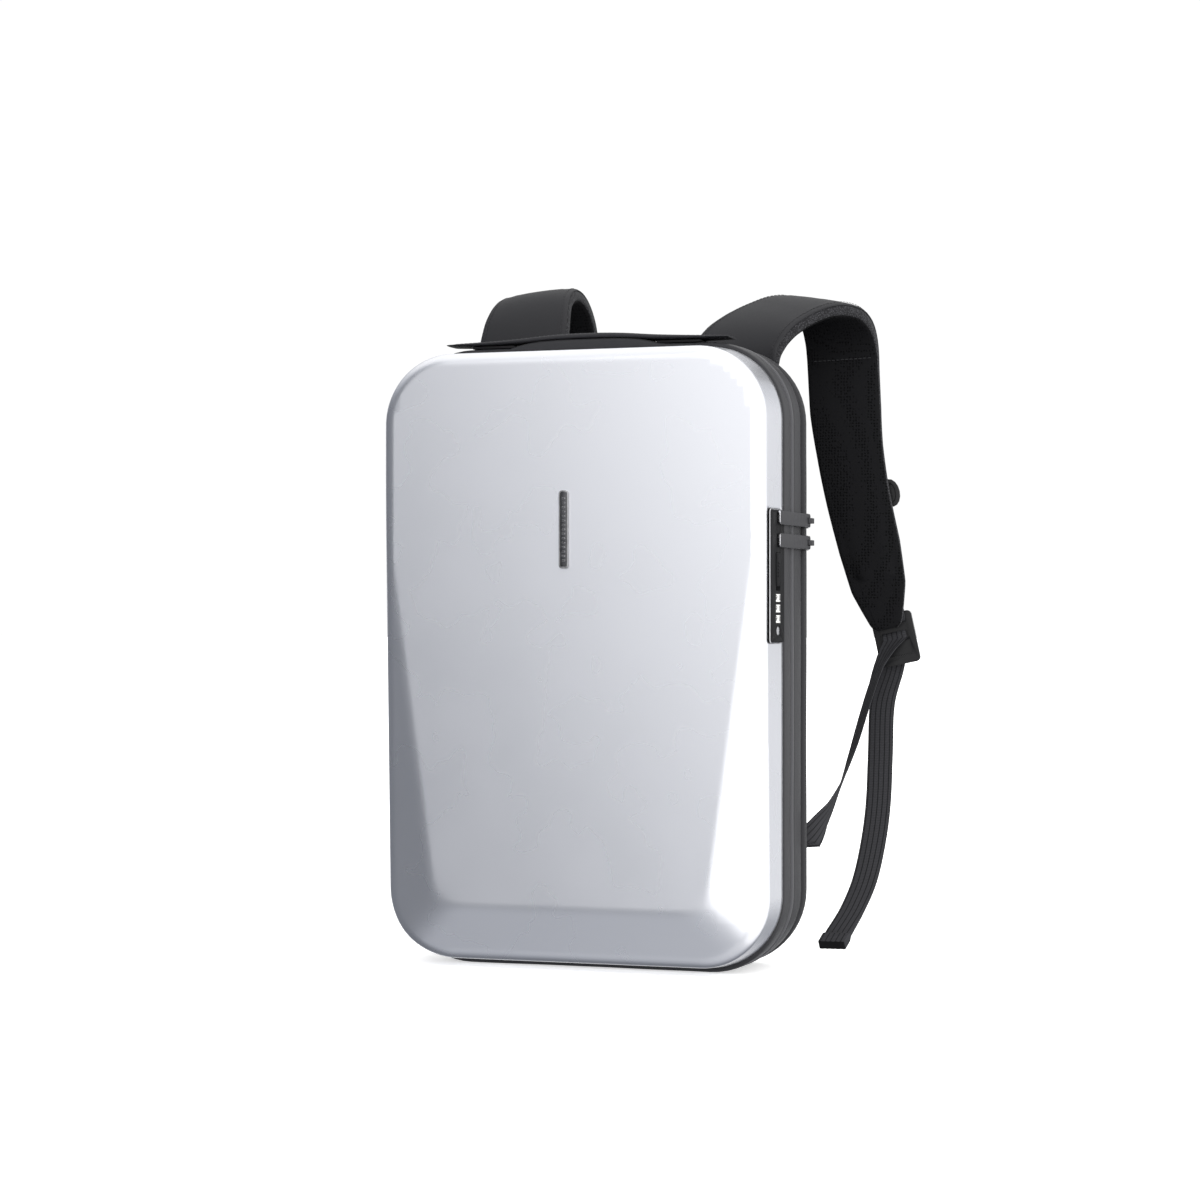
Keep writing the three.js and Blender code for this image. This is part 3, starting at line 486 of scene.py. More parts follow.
@dataclass(frozen=True)
class AirMesh(Finish):
    """Open spacer mesh with rows of small holes.

    Attributes:
        hole: holes per millimetre.
    """

    hole: float = 0.42

    def paint(self, shader: Shader) -> None:
        """Round holes between raised threads, painted dark as shade inside them, with fuzz on
        the threads.
        """
        threads = shader.cells(self.hole, 0.35).ramp(0.18, 0.42)
        fuzz = shader.grain(3.0, 3.0)
        # The holes are painted a quarter as bright, as shade inside them.
        painted_hole_shade = tuple(part * 0.25 for part in self.colour)
        shader.dress({
            "Base Color": shader.blend(threads * 0.85 + fuzz * 0.15, painted_hole_shade, self.colour),
            "Roughness": fuzz * 0.1 + (self.rough - 0.05),
        })
        shader.relief(threads + fuzz * 0.2, 0.35, 0.8)


@dataclass(frozen=True)
class Knit(Finish):
    """Nubbly knitted edging."""

    def paint(self, shader: Shader) -> None:
        """Small loops of uneven size, with painted highlights on their raised tips."""
        loops = shader.cells(0.85, 0.9)
        fuzz = shader.grain(2.4, 4.0)
        # Lighter tips are a painted highlight on the raised loops and darker gaps are painted
        # shade; the fuzz adds a random tone.
        tips = loops.ramp(0.6, 0.1) * 0.7 + fuzz * 0.3
        shader.dress({
            "Base Color": shader.blend(tips, *self.shades(0.85)),
            "Roughness": fuzz * 0.1 + (self.rough - 0.05),
        })
        shader.relief(tips, 0.3, 0.9)


@dataclass(frozen=True)
class RibbedWeb(Finish):
    """Narrow woven webbing.

    Attributes:
        rib: width of one lengthwise rib.
        pick: length of one crosswise thread.
    """

    rib: float = 4.0
    pick: float = 1.3

    def paint(self, shader: Shader) -> None:
        """Slanting picks that turn over at each rib, with painted shade darkening the grooves.
        """
        across, along = shader.cloth()
        ribs = (across * (math.pi / self.rib)).sine().size()
        slant = (along * (2 * math.pi / self.pick) + ribs * 2.4).sine() * 0.5 + 0.5
        fuzz = shader.grain(2.0, 3.0)
        # The rib mask paints shade into the grooves between the ribs; the picks and the fuzz
        # are the webbing's own tone.
        tone = ribs.ramp(0.0, 0.55) * (slant * 0.35 + fuzz * 0.25 + 0.4)
        shader.dress({
            "Base Color": shader.blend(tone, *self.shades(self.vary)),
            "Roughness": fuzz * 0.1 + (self.rough - 0.05),
        })
        shader.relief(slant * 0.5 + fuzz * 0.3, 0.12, 0.8)


SILVER = Lacquer("silver_lacquer", (0.82, 0.83, 0.87), 0.27, metal=0.9, coat=0.2)
DARK_STEEL = BrushedMetal("badge_steel", (0.3, 0.3, 0.305), 0.34, metal=0.9, vary=0.3)
BADGE_DARK = BrushedMetal("badge_dark", (0.09, 0.09, 0.095), 0.42, metal=0.8, vary=0.3)
BRIGHT_EDGE = BrushedMetal("bright_edge", (0.62, 0.62, 0.64), 0.28, metal=1.0, vary=0.15)
GUNMETAL = BrushedMetal("gunmetal", (0.05, 0.05, 0.054), 0.5,
                        metal=0.3, gloss=0.2, vary=0.25)
KEY_STEEL = BrushedMetal("key_steel", (0.5, 0.5, 0.52), 0.25, metal=1.0, vary=0.15)
LOCK_PLASTIC = Finish("lock_plastic", (0.012, 0.012, 0.013), 0.5, gloss=0.06)
DIAL_PLASTIC = Finish("dial_plastic", (0.82, 0.82, 0.8), 0.35, coat=0.2, vary=0.04)
DIAL_INK = Finish("dial_ink", (0.012, 0.012, 0.014), 0.5)
BUCKLE_PLASTIC = Finish("buckle_plastic", (0.008, 0.008, 0.009), 0.32, gloss=0.2)
BAND_CLOTH = Weave("band_cloth", (0.027, 0.027, 0.03), 0.44,
                   gloss=0.18, sheen=0.05, vary=0.2)
LIP_CLOTH = Weave("lip_cloth", (0.062, 0.062, 0.068), 0.38,
                  gloss=0.3, sheen=0.05, vary=0.16, pitch=0.8)
# Near black: partly the zip tape's own black, partly painted shade in the recessed groove
# where it lies; the corner patches use it too.
TAPE_CLOTH = Weave("tape_cloth", (0.008, 0.008, 0.009), 0.8, gloss=0.1, vary=0.3, pitch=0.7)
ZIP_TEETH = Finish("zip_teeth", (0.012, 0.012, 0.013), 0.4, gloss=0.2)
STRAP_CLOTH = Weave("strap_cloth", (0.02, 0.02, 0.0225), 0.6,
                    gloss=0.22, vary=0.16, pitch=0.7)
# Knit with painted highlights on its loop tips.
STRAP_KNIT = Knit("strap_knit", (0.045, 0.045, 0.049), 0.85, gloss=0.1, sheen=0.06)
# Open mesh with painted shade in its holes.
AIR_MESH = AirMesh("air_mesh", (0.01, 0.01, 0.011), 0.9, gloss=0.06)
# Webbing with painted shade in its grooves.
WEB_CLOTH = RibbedWeb("ribbed_webbing", (0.03, 0.03, 0.033), 0.75, gloss=0.1, vary=0.75)
HANDLE_CLOTH = Weave("handle_weave", (0.03, 0.03, 0.033), 0.55, gloss=0.12, vary=0.2)
# A white floor with a painted glow.
GLOWING_FLOOR = FloorPaper("glowing_floor", (0.93, 0.93, 0.93), 0.8)
DARK_THREAD = Finish("dark_thread", (0.035, 0.035, 0.038), 0.7, gloss=0.15, sheen=0.1)


# Mesh tools


def box_of(node: str) -> tuple[Vector, Vector]:
    """The lowest and the highest corner of a CAD node's box, in millimetres."""
    low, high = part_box(node)
    return Vector(low) / MM, Vector(high) / MM


def carried(node: str) -> BMesh:
    """A copy of a CAD node's mesh with its triangles merged.

    Args:
        node: the node's name.

    Returns:
        The mesh in millimetres.
    """
    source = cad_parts[node]
    bm = bmesh.new()
    bm.from_mesh(source.data)
    bm.transform(Matrix.Scale(1 / MM, 4) @ source.matrix_world)
    bmesh.ops.remove_doubles(bm, verts=bm.verts[:], dist=0.002)
    bmesh.ops.join_triangles(
        bm,
        faces=bm.faces[:],
        angle_face_threshold=math.radians(2.0),
        angle_shape_threshold=math.radians(180.0),
    )
    return bm


def chamfer(bm: BMesh, width: float, segments: int, material: int = -1) -> None:
    """Rounds the sharp edges of a hard piece.

    Args:
        bm: the mesh.
        width: size of the rounding.
        segments: its faces across.
        material: material of the rounding, or -1 for that of its neighbours.
    """
    edges = [edge for edge in bm.edges if edge.calc_face_angle(0.0) > math.radians(30.0)]
    bmesh.ops.bevel(
        bm,
        geom=edges,
        offset=width,
        affect="EDGES",
        segments=segments,
        profile=0.5,
        material=material,
        clamp_overlap=True,
    )


def cut_grid(bm: BMesh, step: float, half_width: float, low: float, high: float) -> None:
    """Cuts a flat face in the XZ plane into small ones.

    Args:
        bm: the mesh.
        step: size of the small faces.
        half_width: reach of the cuts to each side.
        low: height of the lowest cut.
        high: height of the highest one.
    """
    columns = int(2 * half_width / step)
    rows = int((high - low) / step)
    cuts = [(SIDEWAYS * (step * (i + 0.5) - half_width), SIDEWAYS) for i in range(columns)]
    cuts += [(UP * (step * (i + 0.5) + low), UP) for i in range(rows)]
    for place, way in cuts:
        bisect(bm, place, way)


def bisect(bm: BMesh, place: Vector, way: Vector, parts: Iterable = ()) -> None:
    """Cuts faces along one plane.

    Args:
        bm: the mesh.
        place: a point of the plane.
        way: the plane's direction.
        parts: the vertices, edges and faces that are cut, or none to cut all of them.
    """
    whole = bm.verts[:] + bm.edges[:] + bm.faces[:]
    bmesh.ops.bisect_plane(
        bm, geom=list(parts) or whole, dist=CLOSE, plane_co=place, plane_no=way
    )


def pull_out(
    bm: BMesh, edges: Sequence[BMEdge], place: Callable[[BMVert], Vector]
) -> list[BMEdge]:
    """Extrudes a loop of edges by one ring of faces.

    Args:
        bm: the mesh.
        edges: the loop.
        place: gives each new vertex its place.

    Returns:
        The new loop.
    """
    made = bmesh.ops.extrude_edge_only(bm, edges=edges)["geom"]
    fresh = {item for item in made if isinstance(item, BMVert)}
    for vert in fresh:
        vert.co = place(vert)
    return [item for item in made if isinstance(item, BMEdge) and fresh.issuperset(item.verts)]


def loft(rings: Sequence[Sequence[Vector]], closed: bool = False) -> BMesh:
    """Extrudes a loop of edges from ring to ring, and maps its cloth.

    Args:
        rings: rings of equal length.
        closed: whether the last ring joins the first; otherwise the ends are capped.

    Returns:
        The mesh, whose vertices know their place in the ring and their ring.
    """
    bm = bmesh.new()
    slot = bm.verts.layers.int.new("slot")
    row = bm.verts.layers.int.new("row")
    count = len(rings[0])
    path = [*rings, rings[0]] if closed else list(rings)
    bmesh.ops.create_circle(bm, segments=count, radius=1.0)
    for index, vert in enumerate(bm.verts):
        vert[slot] = index
        vert.co = path[0][index]
    first = bm.edges[:]
    edges = first
    for number, ring in enumerate(path[1:], 1):
        edges = pull_out(bm, edges, lambda vert: ring[vert[slot]])
        for edge in edges:
            for vert in edge.verts:
                vert[row] = number
    map_cloth(bm, path)
    if closed:
        bmesh.ops.remove_doubles(bm, verts=bm.verts[:], dist=CLOSE)
    else:
        bmesh.ops.edgeloop_fill(bm, edges=first)
        bmesh.ops.edgeloop_fill(bm, edges=edges)
    bmesh.ops.recalc_face_normals(bm, faces=bm.faces[:])
    return bm


def map_cloth(bm: BMesh, rings: Sequence[Sequence[Vector]]) -> None:
    """Gives each corner of a loft its place on the cloth, in metres.

    Args:
        bm: the loft.
        rings: the rings that it was made from.
    """
    slot = bm.verts.layers.int["slot"]
    row = bm.verts.layers.int["row"]
    spread = bm.loops.layers.uv.new("cloth")
    count = len(rings[0])
    along = [0.0]
    for before, after in zip(rings, rings[1:]):
        along.append(along[-1] + sum((a - b).length for a, b in zip(before, after)) / count)
    middle = rings[len(rings) // 2]
    around = [0.0]
    for index in range(count):
        around.append(around[-1] + (middle[(index + 1) % count] - middle[index]).length)
    for face in bm.faces:
        wraps = {0, count - 1} <= {loop.vert[slot] for loop in face.loops}
        for loop in face.loops:
            index = loop.vert[slot]
            if wraps and index == 0:
                index = count
            loop[spread].uv = (around[index] * MM, along[loop.vert[row]] * MM)


def zone(face: bmesh.types.BMFace, count: int, slot: bmesh.types.BMLayerItem) -> int:
    """The place in its ring of a loft's face.

    Args:
        face: the face.
        count: points in a ring.
        slot: the layer that holds each point's place.

    Returns:
        The place of the face's first point, or -1 for a cap.
    """
    found = {vert[slot] for vert in face.verts}
    if len(found) > 2:
        return -1
    return count - 1 if found == {0, count - 1} else min(found)


def rippled(ring: Sequence[Vector], amount: float, scale: float) -> list[Vector]:
    """Moves points a little, as cloth wanders.

    Args:
        ring: the points.
        amount: greatest move.
        scale: waves per millimetre.

    Returns:
        The moved points.
    """
    return [point + noise.noise_vector(point * scale) * amount for point in ring]


def spaced(path: Sequence[Vector], pitch: float) -> list[tuple[Vector, Vector]]:
    """Even steps along a path.

    Args:
        path: its points.
        pitch: length of a step.

    Returns:
        Each step's middle and direction.
    """
    steps = []
    travelled = pitch / 2
    for start, end in zip(path, path[1:]):
        span = end - start
        length = span.length
        while travelled < length:
            steps.append((start + span * (travelled / length), span / length))
            travelled += pitch
        travelled -= length
    return steps


def add_block(
    bm: BMesh,
    place: Vector,
    size: Sequence[float],
    axes: Sequence[Vector] = (SIDEWAYS, REAR, UP),
) -> list[BMVert]:
    """Adds a block.

    Args:
        bm: the mesh that takes it.
        place: its centre.
        size: its length along each axis.
        axes: their directions.

    Returns:
        Its vertices.
    """
    turn = Matrix(axes).transposed().to_4x4()
    matrix = Matrix.Translation(place) @ turn @ Matrix.Diagonal((*size, 1.0))
    return bmesh.ops.create_cube(bm, size=1.0, matrix=matrix)["verts"]


def sew(
    bm: BMesh,
    path: Sequence[Vector],
    outward: Callable[[Vector], Vector],
    pitch: float = 3.6,
    size: Vector = Vector((2.5, 0.55, 0.4)),
) -> None:
    """Adds a row of stitches.

    Args:
        bm: the mesh that takes them.
        path: the line of the seam.
        outward: the cloth's outward direction at a point.
        pitch: length from stitch to stitch.
        size: length, width and height of one stitch.
    """
    for place, along in spaced(path, pitch):
        across = along.cross(outward(place)).normalized()
        out = across.cross(along).normalized()
        add_block(bm, place, size, (along, across, out))


def make_piece(
    name: str,
    bm: BMesh,
    finishes: Sequence[Finish],
    body: str = "bag",
    stands_for: Sequence[str] = (),
    crease: float = 35.0,
) -> bpy.types.Object:
    """Turns a mesh into a piece that rides on a body.

    Args:
        name: the piece's name.
        bm: its mesh in millimetres, which is used up.
        finishes: its finishes, in the order of its faces' materials.
        body: the CAD body that it rides on.
        stands_for: CAD nodes that it replaces.
        crease: edges sharper than this many degrees stay sharp.

    Returns:
        The piece.
    """
    bm.transform(Matrix.Scale(MM, 4))
    mesh = bpy.data.meshes.new(name)
    for face in bm.faces:
        face.smooth = True
    bm.to_mesh(mesh)
    bm.free()
    for finish in finishes:
        mesh.materials.append(finish.material())
    mesh.set_sharp_from_angle(angle=math.radians(crease))
    piece = bpy.data.objects.new(name, mesh)
    bpy.context.scene.collection.objects.link(piece)
    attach(piece, body)
    if stands_for:
        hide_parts(*stands_for)
    LOG.info("%s: %d faces on %s", name, len(mesh.polygons), body)
    return piece


@dataclass(frozen=True)
class Outline:
    """Rounded rectangle about the bag's middle, in planes that face the front.

    Attributes:
        half_width: half its width.
        half_height: half its height.
        corner: radius of its corners.
        middle: height of its centre.
        corner_steps: points in each corner.
        side_step: length between points on its straight sides.
    """

    half_width: float
    half_height: float
    corner: float
    middle: float = 232.0
    corner_steps: int = 14
    side_step: float = 8.0

    def heart(self, point: Vector) -> Vector:
        """The nearest point of the rectangle through the centres of the corners."""
        reach_x = self.half_width - self.corner
        reach_z = self.half_height - self.corner
        x = max(-reach_x, min(reach_x, point.x))
        z = max(-reach_z, min(reach_z, point.z - self.middle))
        return Vector((x, point.y, z + self.middle))

    def outward(self, point: Vector) -> Vector:
        """The direction out of the outline at a point near it."""
        away = point - self.heart(point)
        return away.normalized() if away.length > 0 else FRONT

    def at(self, point: Vector, inset: float, y: float) -> Vector:
        """The place of a point on the outline.

        Args:
            point: a point near it.
            inset: how far inside the outline.
            y: depth of the plane.

        Returns:
            The place.
        """
        place = self.heart(point) + self.outward(point) * (self.corner - inset)
        place.y = y
        return place

    def base(self) -> list[Vector]:
        """Points all round the outline, from the middle of its foot.

        Returns:
            The points in order.
        """
        bm = bmesh.new()
        bmesh.ops.create_circle(bm, segments=4 * self.corner_steps, radius=self.corner)
        angles = [math.atan2(vert.co.y, vert.co.x) for vert in bm.verts]
        bm.free()
        corners = []
        for quarter in range(4):
            start = quarter * math.pi / 2 - math.pi / 2
            inside = sorted((angle - start) % (2 * math.pi) for angle in angles)
            turns = [turn for turn in inside if turn <= math.pi / 2 + 1e-6]
            sign_x = 1 if quarter in (0, 1) else -1
            sign_z = 1 if quarter in (1, 2) else -1
            for turn in turns:
                corners.append(Vector((
                    sign_x * (self.half_width - self.corner)
                    + self.corner * math.cos(start + turn),
                    0.0,
                    self.middle + sign_z * (self.half_height - self.corner)
                    + self.corner * math.sin(start + turn),
                )))
        points = []
        for start, end in zip(corners, [*corners[1:], corners[0]]):
            pieces = max(1, round((end - start).length / self.side_step))
            points += [start.lerp(end, step / pieces) for step in range(pieces)]
        return points

    def ring(self, inset: float, y: float, base: Sequence[Vector]) -> list[Vector]:
        """Points round the outline, moved inwards, at one depth."""
        return [self.at(point, inset, y) for point in base]

    def flat(self, inset: float, y: float) -> BMesh:
        """One face with the outline's shape.

        Args:
            inset: how far inside the outline.
            y: its depth.

        Returns:
            A mesh with that face.
        """
        bm = bmesh.new()
        bmesh.ops.create_grid(bm, x_segments=1, y_segments=1, size=1.0)
        bmesh.ops.rotate(bm, verts=bm.verts[:], matrix=Matrix.Rotation(math.pi / 2, 3, "X"))
        size = Vector((self.half_width - inset, 1.0, self.half_height - inset))
        bmesh.ops.scale(bm, verts=bm.verts[:], vec=size)
        bmesh.ops.translate(bm, verts=bm.verts[:], vec=Vector((0.0, y, self.middle)))
        bmesh.ops.bevel(
            bm,
            geom=bm.verts[:],
            offset=self.corner - inset,
            affect="VERTICES",
            segments=self.corner_steps,
            profile=0.5,
            material=-1,
        )
        return bm


# Stations of flat straps


@dataclass
class Station:
    """One place along a strap.

    Attributes:
        centre: its middle.
        across: direction of its width.
        out: direction out of its face.
        half_width: half its width.
        half_thick: half its thickness.
    """

    centre: Vector
    across: Vector
    out: Vector
    half_width: float
    half_thick: float

    def at(self, u: float, v: float) -> Vector:
        """The point u across and v out from the middle."""
        return self.centre + self.across * u + self.out * v


# Points in each ring of a strap's CAD node.
RING_POINTS = 8


def main_axes(points: Sequence[Vector]) -> tuple[Vector, list[Vector]]:
    """The middle of a cloud of points, and the directions in which it is spread.

    Args:
        points: the points.

    Returns:
        The middle, and the directions from the thinnest to the longest.
    """
    centre = sum(points, Vector()) / len(points)
    spread = numpy.array([tuple(point - centre) for point in points])
    _, axes = numpy.linalg.eigh(spread.T @ spread)
    return centre, [Vector(axis) for axis in axes.T]


def read_stations(
    node: str, key: Callable[[Vector], float], facing: Vector
) -> list[Station]:
    """Follows the rings of a strap's CAD node from one end to the other.

    Args:
        node: the node's name.
        key: the end ring's points have its lowest values.
        facing: which way the face looks at that end.

    Returns:
        The strap's stations.
    """
    bm = carried(node)
    ring = set(sorted(bm.verts, key=lambda vert: key(vert.co))[:RING_POINTS])
    seen = set(ring)
    stations: list[Station] = []
    side, face = SIDEWAYS, facing
    while ring:
        points = [vert.co.copy() for vert in ring]
        centre, (_, out, across) = main_axes(points)
        across = -across if across.dot(side) < 0 else across
        out = -out if out.dot(face) < 0 else out
        side, face = across, out
        stations.append(Station(
            centre, across, out,
            max(abs((point - centre).dot(across)) for point in points),
            max(abs((point - centre).dot(out)) for point in points),
        ))
        ring = {edge.other_vert(vert) for vert in ring for edge in vert.link_edges} - seen
        seen |= ring
    bm.free()
    return stations


def finer(stations: Sequence[Station], steps: int) -> list[Station]:
    """Adds stations between the given ones on a smooth curve.

    Args:
        stations: the given ones.
        steps: how many steps take the place of one.

    Returns:
        The new stations.
    """
    result = []
    last = len(stations) - 1
    for index in range(last):
        around = [stations[min(max(index + shift, 0), last)] for shift in (-1, 0, 1, 2)]
        a, b, c, d = (item.centre for item in around)
        here, there = around[1], around[2]
        for step in range(steps):
            t = step / steps
            centre = 0.5 * (
                2 * b + (c - a) * t + (2 * a - 5 * b + 4 * c - d) * t * t
                + (3 * b - a - 3 * c + d) * t * t * t
            )
            across = here.across.lerp(there.across, t).normalized()
            out = here.out.lerp(there.out, t)
            out = (out - across * out.dot(across)).normalized()
            result.append(Station(
                centre, across, out,
                here.half_width + (there.half_width - here.half_width) * t,
                here.half_thick + (there.half_thick - here.half_thick) * t,
            ))
    result.append(stations[-1])
    return result


# Front shell and badge


@dataclass
class FrontShell:
    """Pressed front shell with a raised panel between leaning facets.

    Attributes:
        outline: its rim.
        rim: depth of its rim.
        depth: how far it stands out in front of the rim.
        draft: how far its sides lean in over that depth.
        edge: radius of its front edge.
        wall: its thickness.
        crease_top: height where the side facets begin.
        crease_foot: height of the lower corners of the panel.
        crease_half: half the panel's width there.
        side_drop: how far a side facet falls back at its lower corner.
        foot_drop: how far the foot facet falls back at the bottom.
        soft: softness of the creases.
        corner_soft: softness where two facets meet.
        step: size of the faces.
        crease_cuts: places of the cuts beside a crease.
        edge_steps: rings of faces on the front edge.
        wall_steps: rings of faces on the sides.
        opening_margin: how far inside the lock's plate its opening ends.
        squarely: how squarely a face looks sideways where the lock sits.
    """

    outline: Outline = Outline(150.0, 228.0, 55.0, corner_steps=20)
    rim: float = -36.0
    depth: float = 44.0
    draft: float = 3.0
    edge: float = 9.0
    wall: float = 2.5
    crease_top: float = 362.0
    crease_foot: float = 47.0
    crease_half: float = 106.0
    side_drop: float = 10.0
    foot_drop: float = 12.0
    soft: float = 1.0
    corner_soft: float = 5.0
    step: float = 5.0
    crease_cuts: tuple[float, ...] = (-6.0, -4.0, -2.4, -0.8, 0.8, 2.4, 4.0, 6.0)
    edge_steps: int = 9
    wall_steps: int = 7
    opening_margin: float = 2.0
    squarely: float = 0.9

    def smooth_most(self, a: float, b: float, soft: float) -> float:
        """The greater of two numbers, rounded where they meet."""
        near = max(soft - abs(a - b), 0.0) / soft
        return max(a, b) + near * near * soft / 4

    def retreat(self, x: float, z: float) -> float:
        """How far the front falls back at a point.

        Args:
            x: its place across.
            z: its height.

        Returns:
            The fall in millimetres.
        """
        run = self.outline.half_width - self.crease_half
        rise = self.crease_top - self.crease_foot
        beside = (abs(x) - self.outline.half_width) / run + (self.crease_top - z) / rise
        bottom = self.outline.middle - self.outline.half_height
        below = (self.crease_foot - z) / (self.crease_foot - bottom)
        fall = self.smooth_most(
            beside * self.side_drop, below * self.foot_drop, self.corner_soft
        )
        return self.smooth_most(fall, 0.0, self.soft)

    def creases(self) -> list[tuple[Vector, Vector]]:
        """Places and directions of the cuts along the creases.

        Returns:
            The cuts.
        """
        run = self.outline.half_width - self.crease_half
        rise = self.crease_top - self.crease_foot
        low = UP * self.crease_foot
        cuts = []
        for side in (-1, 1):
            way = Vector((side * rise, 0.0, -run)).normalized()
            foot = low + SIDEWAYS * (side * self.crease_half)
            cuts += [(foot + way * shift, way) for shift in self.crease_cuts]
        return cuts + [(low + UP * shift, UP) for shift in self.crease_cuts]

    def section(self) -> list[tuple[float, float]]:
        """Inset and depth of each ring from the front face to the rim.

        Returns:
            The rings.
        """
        front = self.rim - self.depth
        start = front + self.edge
        lean = self.draft * (self.rim - start) / self.depth
        rings = []
        for step in range(1, self.edge_steps + 1):
            turn = math.pi / 2 * (1 - step / self.edge_steps)
            rings.append((lean + self.edge * (1 - math.cos(turn)),
                          front + self.edge * (1 - math.sin(turn))))
        for step in range(1, self.wall_steps + 1):
            share = step / self.wall_steps
            rings.append((lean * (1 - share), start + (self.rim - start) * share))
        return rings

    def build(self) -> bpy.types.Object:
        """Models the shell.

        Returns:
            The piece.
        """
        front = self.rim - self.depth
        start = front + self.edge
        inset = self.draft * (self.rim - start) / self.depth + self.edge
        bm = self.outline.flat(inset, front)
        middle, half = self.outline.middle, self.outline.half_height
        cut_grid(bm, self.step, self.outline.half_width, middle - half, middle + half)
        for place, way in self.creases():
            bisect(bm, place, way)
        edges = [edge for edge in bm.edges if edge.is_boundary]
        for vert in {vert for edge in edges for vert in edge.verts}:
            vert.co = self.outline.at(vert.co, inset, front)
        for ring_inset, y in self.section():
            edges = pull_out(
                bm, edges, lambda vert: self.outline.at(vert.co, ring_inset, y)
            )
        for vert in bm.verts:
            share = min(1.0, (self.rim - vert.co.y) / (self.rim - start))
            vert.co.y += self.retreat(vert.co.x, vert.co.z) * share
        bmesh.ops.recalc_face_normals(bm, faces=bm.faces[:])
        if sum(face.normal.y * face.calc_area() for face in bm.faces) > 0:
            bmesh.ops.reverse_faces(bm, faces=bm.faces[:])
        self.open_for_lock(bm)
        piece = make_piece("shell_front", bm, [SILVER],
                           stands_for=["front_shell"], crease=60.0)
        shell = piece.modifiers.new("wall", "SOLIDIFY")
        shell.thickness = self.wall * MM
        shell.offset = -1.0
        return piece

    def open_for_lock(self, bm: BMesh) -> None:
        """Cuts the opening that the lock's body passes through."""
        low, high = box_of("lock_housing")
        edge = Vector((0.0, self.opening_margin, self.opening_margin))
        low, high = low + edge, high - edge
        for place, way in ((low, REAR), (high, REAR), (low, UP), (high, UP)):
            faces = [face for face in bm.faces if face.normal.x > self.squarely]
            near = {item for face in faces for item in (*face.verts, *face.edges, face)}
            bisect(bm, place, way, near)
        inside = []
        for face in bm.faces:
            centre = face.calc_center_median()
            within = low.y < centre.y < high.y and low.z < centre.z < high.z
            if face.normal.x > self.squarely and within:
                inside.append(face)
        bmesh.ops.delete(bm, geom=inside, context="FACES")


@dataclass
class Badge:
    """Plain metal bar on the front, with a row of small ribs.

    Attributes:
        rim_edge: rounding of its frame.
        ribs: how many ribs cross its face.
        rib_size: width, depth and height of a rib.
        rib_edge: bevel of a rib.
        margin: bare ends above and below the ribs.
    """

    rim_edge: float = 0.3
    ribs: int = 15
    rib_size: Vector = Vector((2.6, 0.7, 1.2))
    rib_edge: float = 0.15
    margin: float = 3.0

    def build(self) -> list[bpy.types.Object]:
        """Models the frame and the ribbed bar.

        Returns:
            The pieces.
        """
        rim = carried("badge_frame")
        chamfer(rim, self.rim_edge, 3, 1)
        bar = carried("badge_bar")
        chamfer(bar, self.rim_edge / 2, 2)
        low, high = box_of("badge_bar")
        centre = (low + high) / 2
        reach = (high.z - low.z) / 2 - self.margin
        for index in range(self.ribs):
            z = centre.z + reach * (2 * (index + 0.5) / self.ribs - 1)
            block = add_block(bar, Vector((centre.x, low.y, z)), self.rib_size)
            sides = {edge for vert in block for edge in vert.link_edges}
            bmesh.ops.bevel(bar, geom=list(sides), offset=self.rib_edge, affect="EDGES",
                            segments=1, profile=0.5, material=1)
        return [
            make_piece("badge_rim", rim, [DARK_STEEL, BRIGHT_EDGE],
                       stands_for=["badge_frame"]),
            make_piece("badge_ribbed_bar", bar, [BADGE_DARK, BRIGHT_EDGE],
                       stands_for=["badge_bar"]),
        ]


# Lock


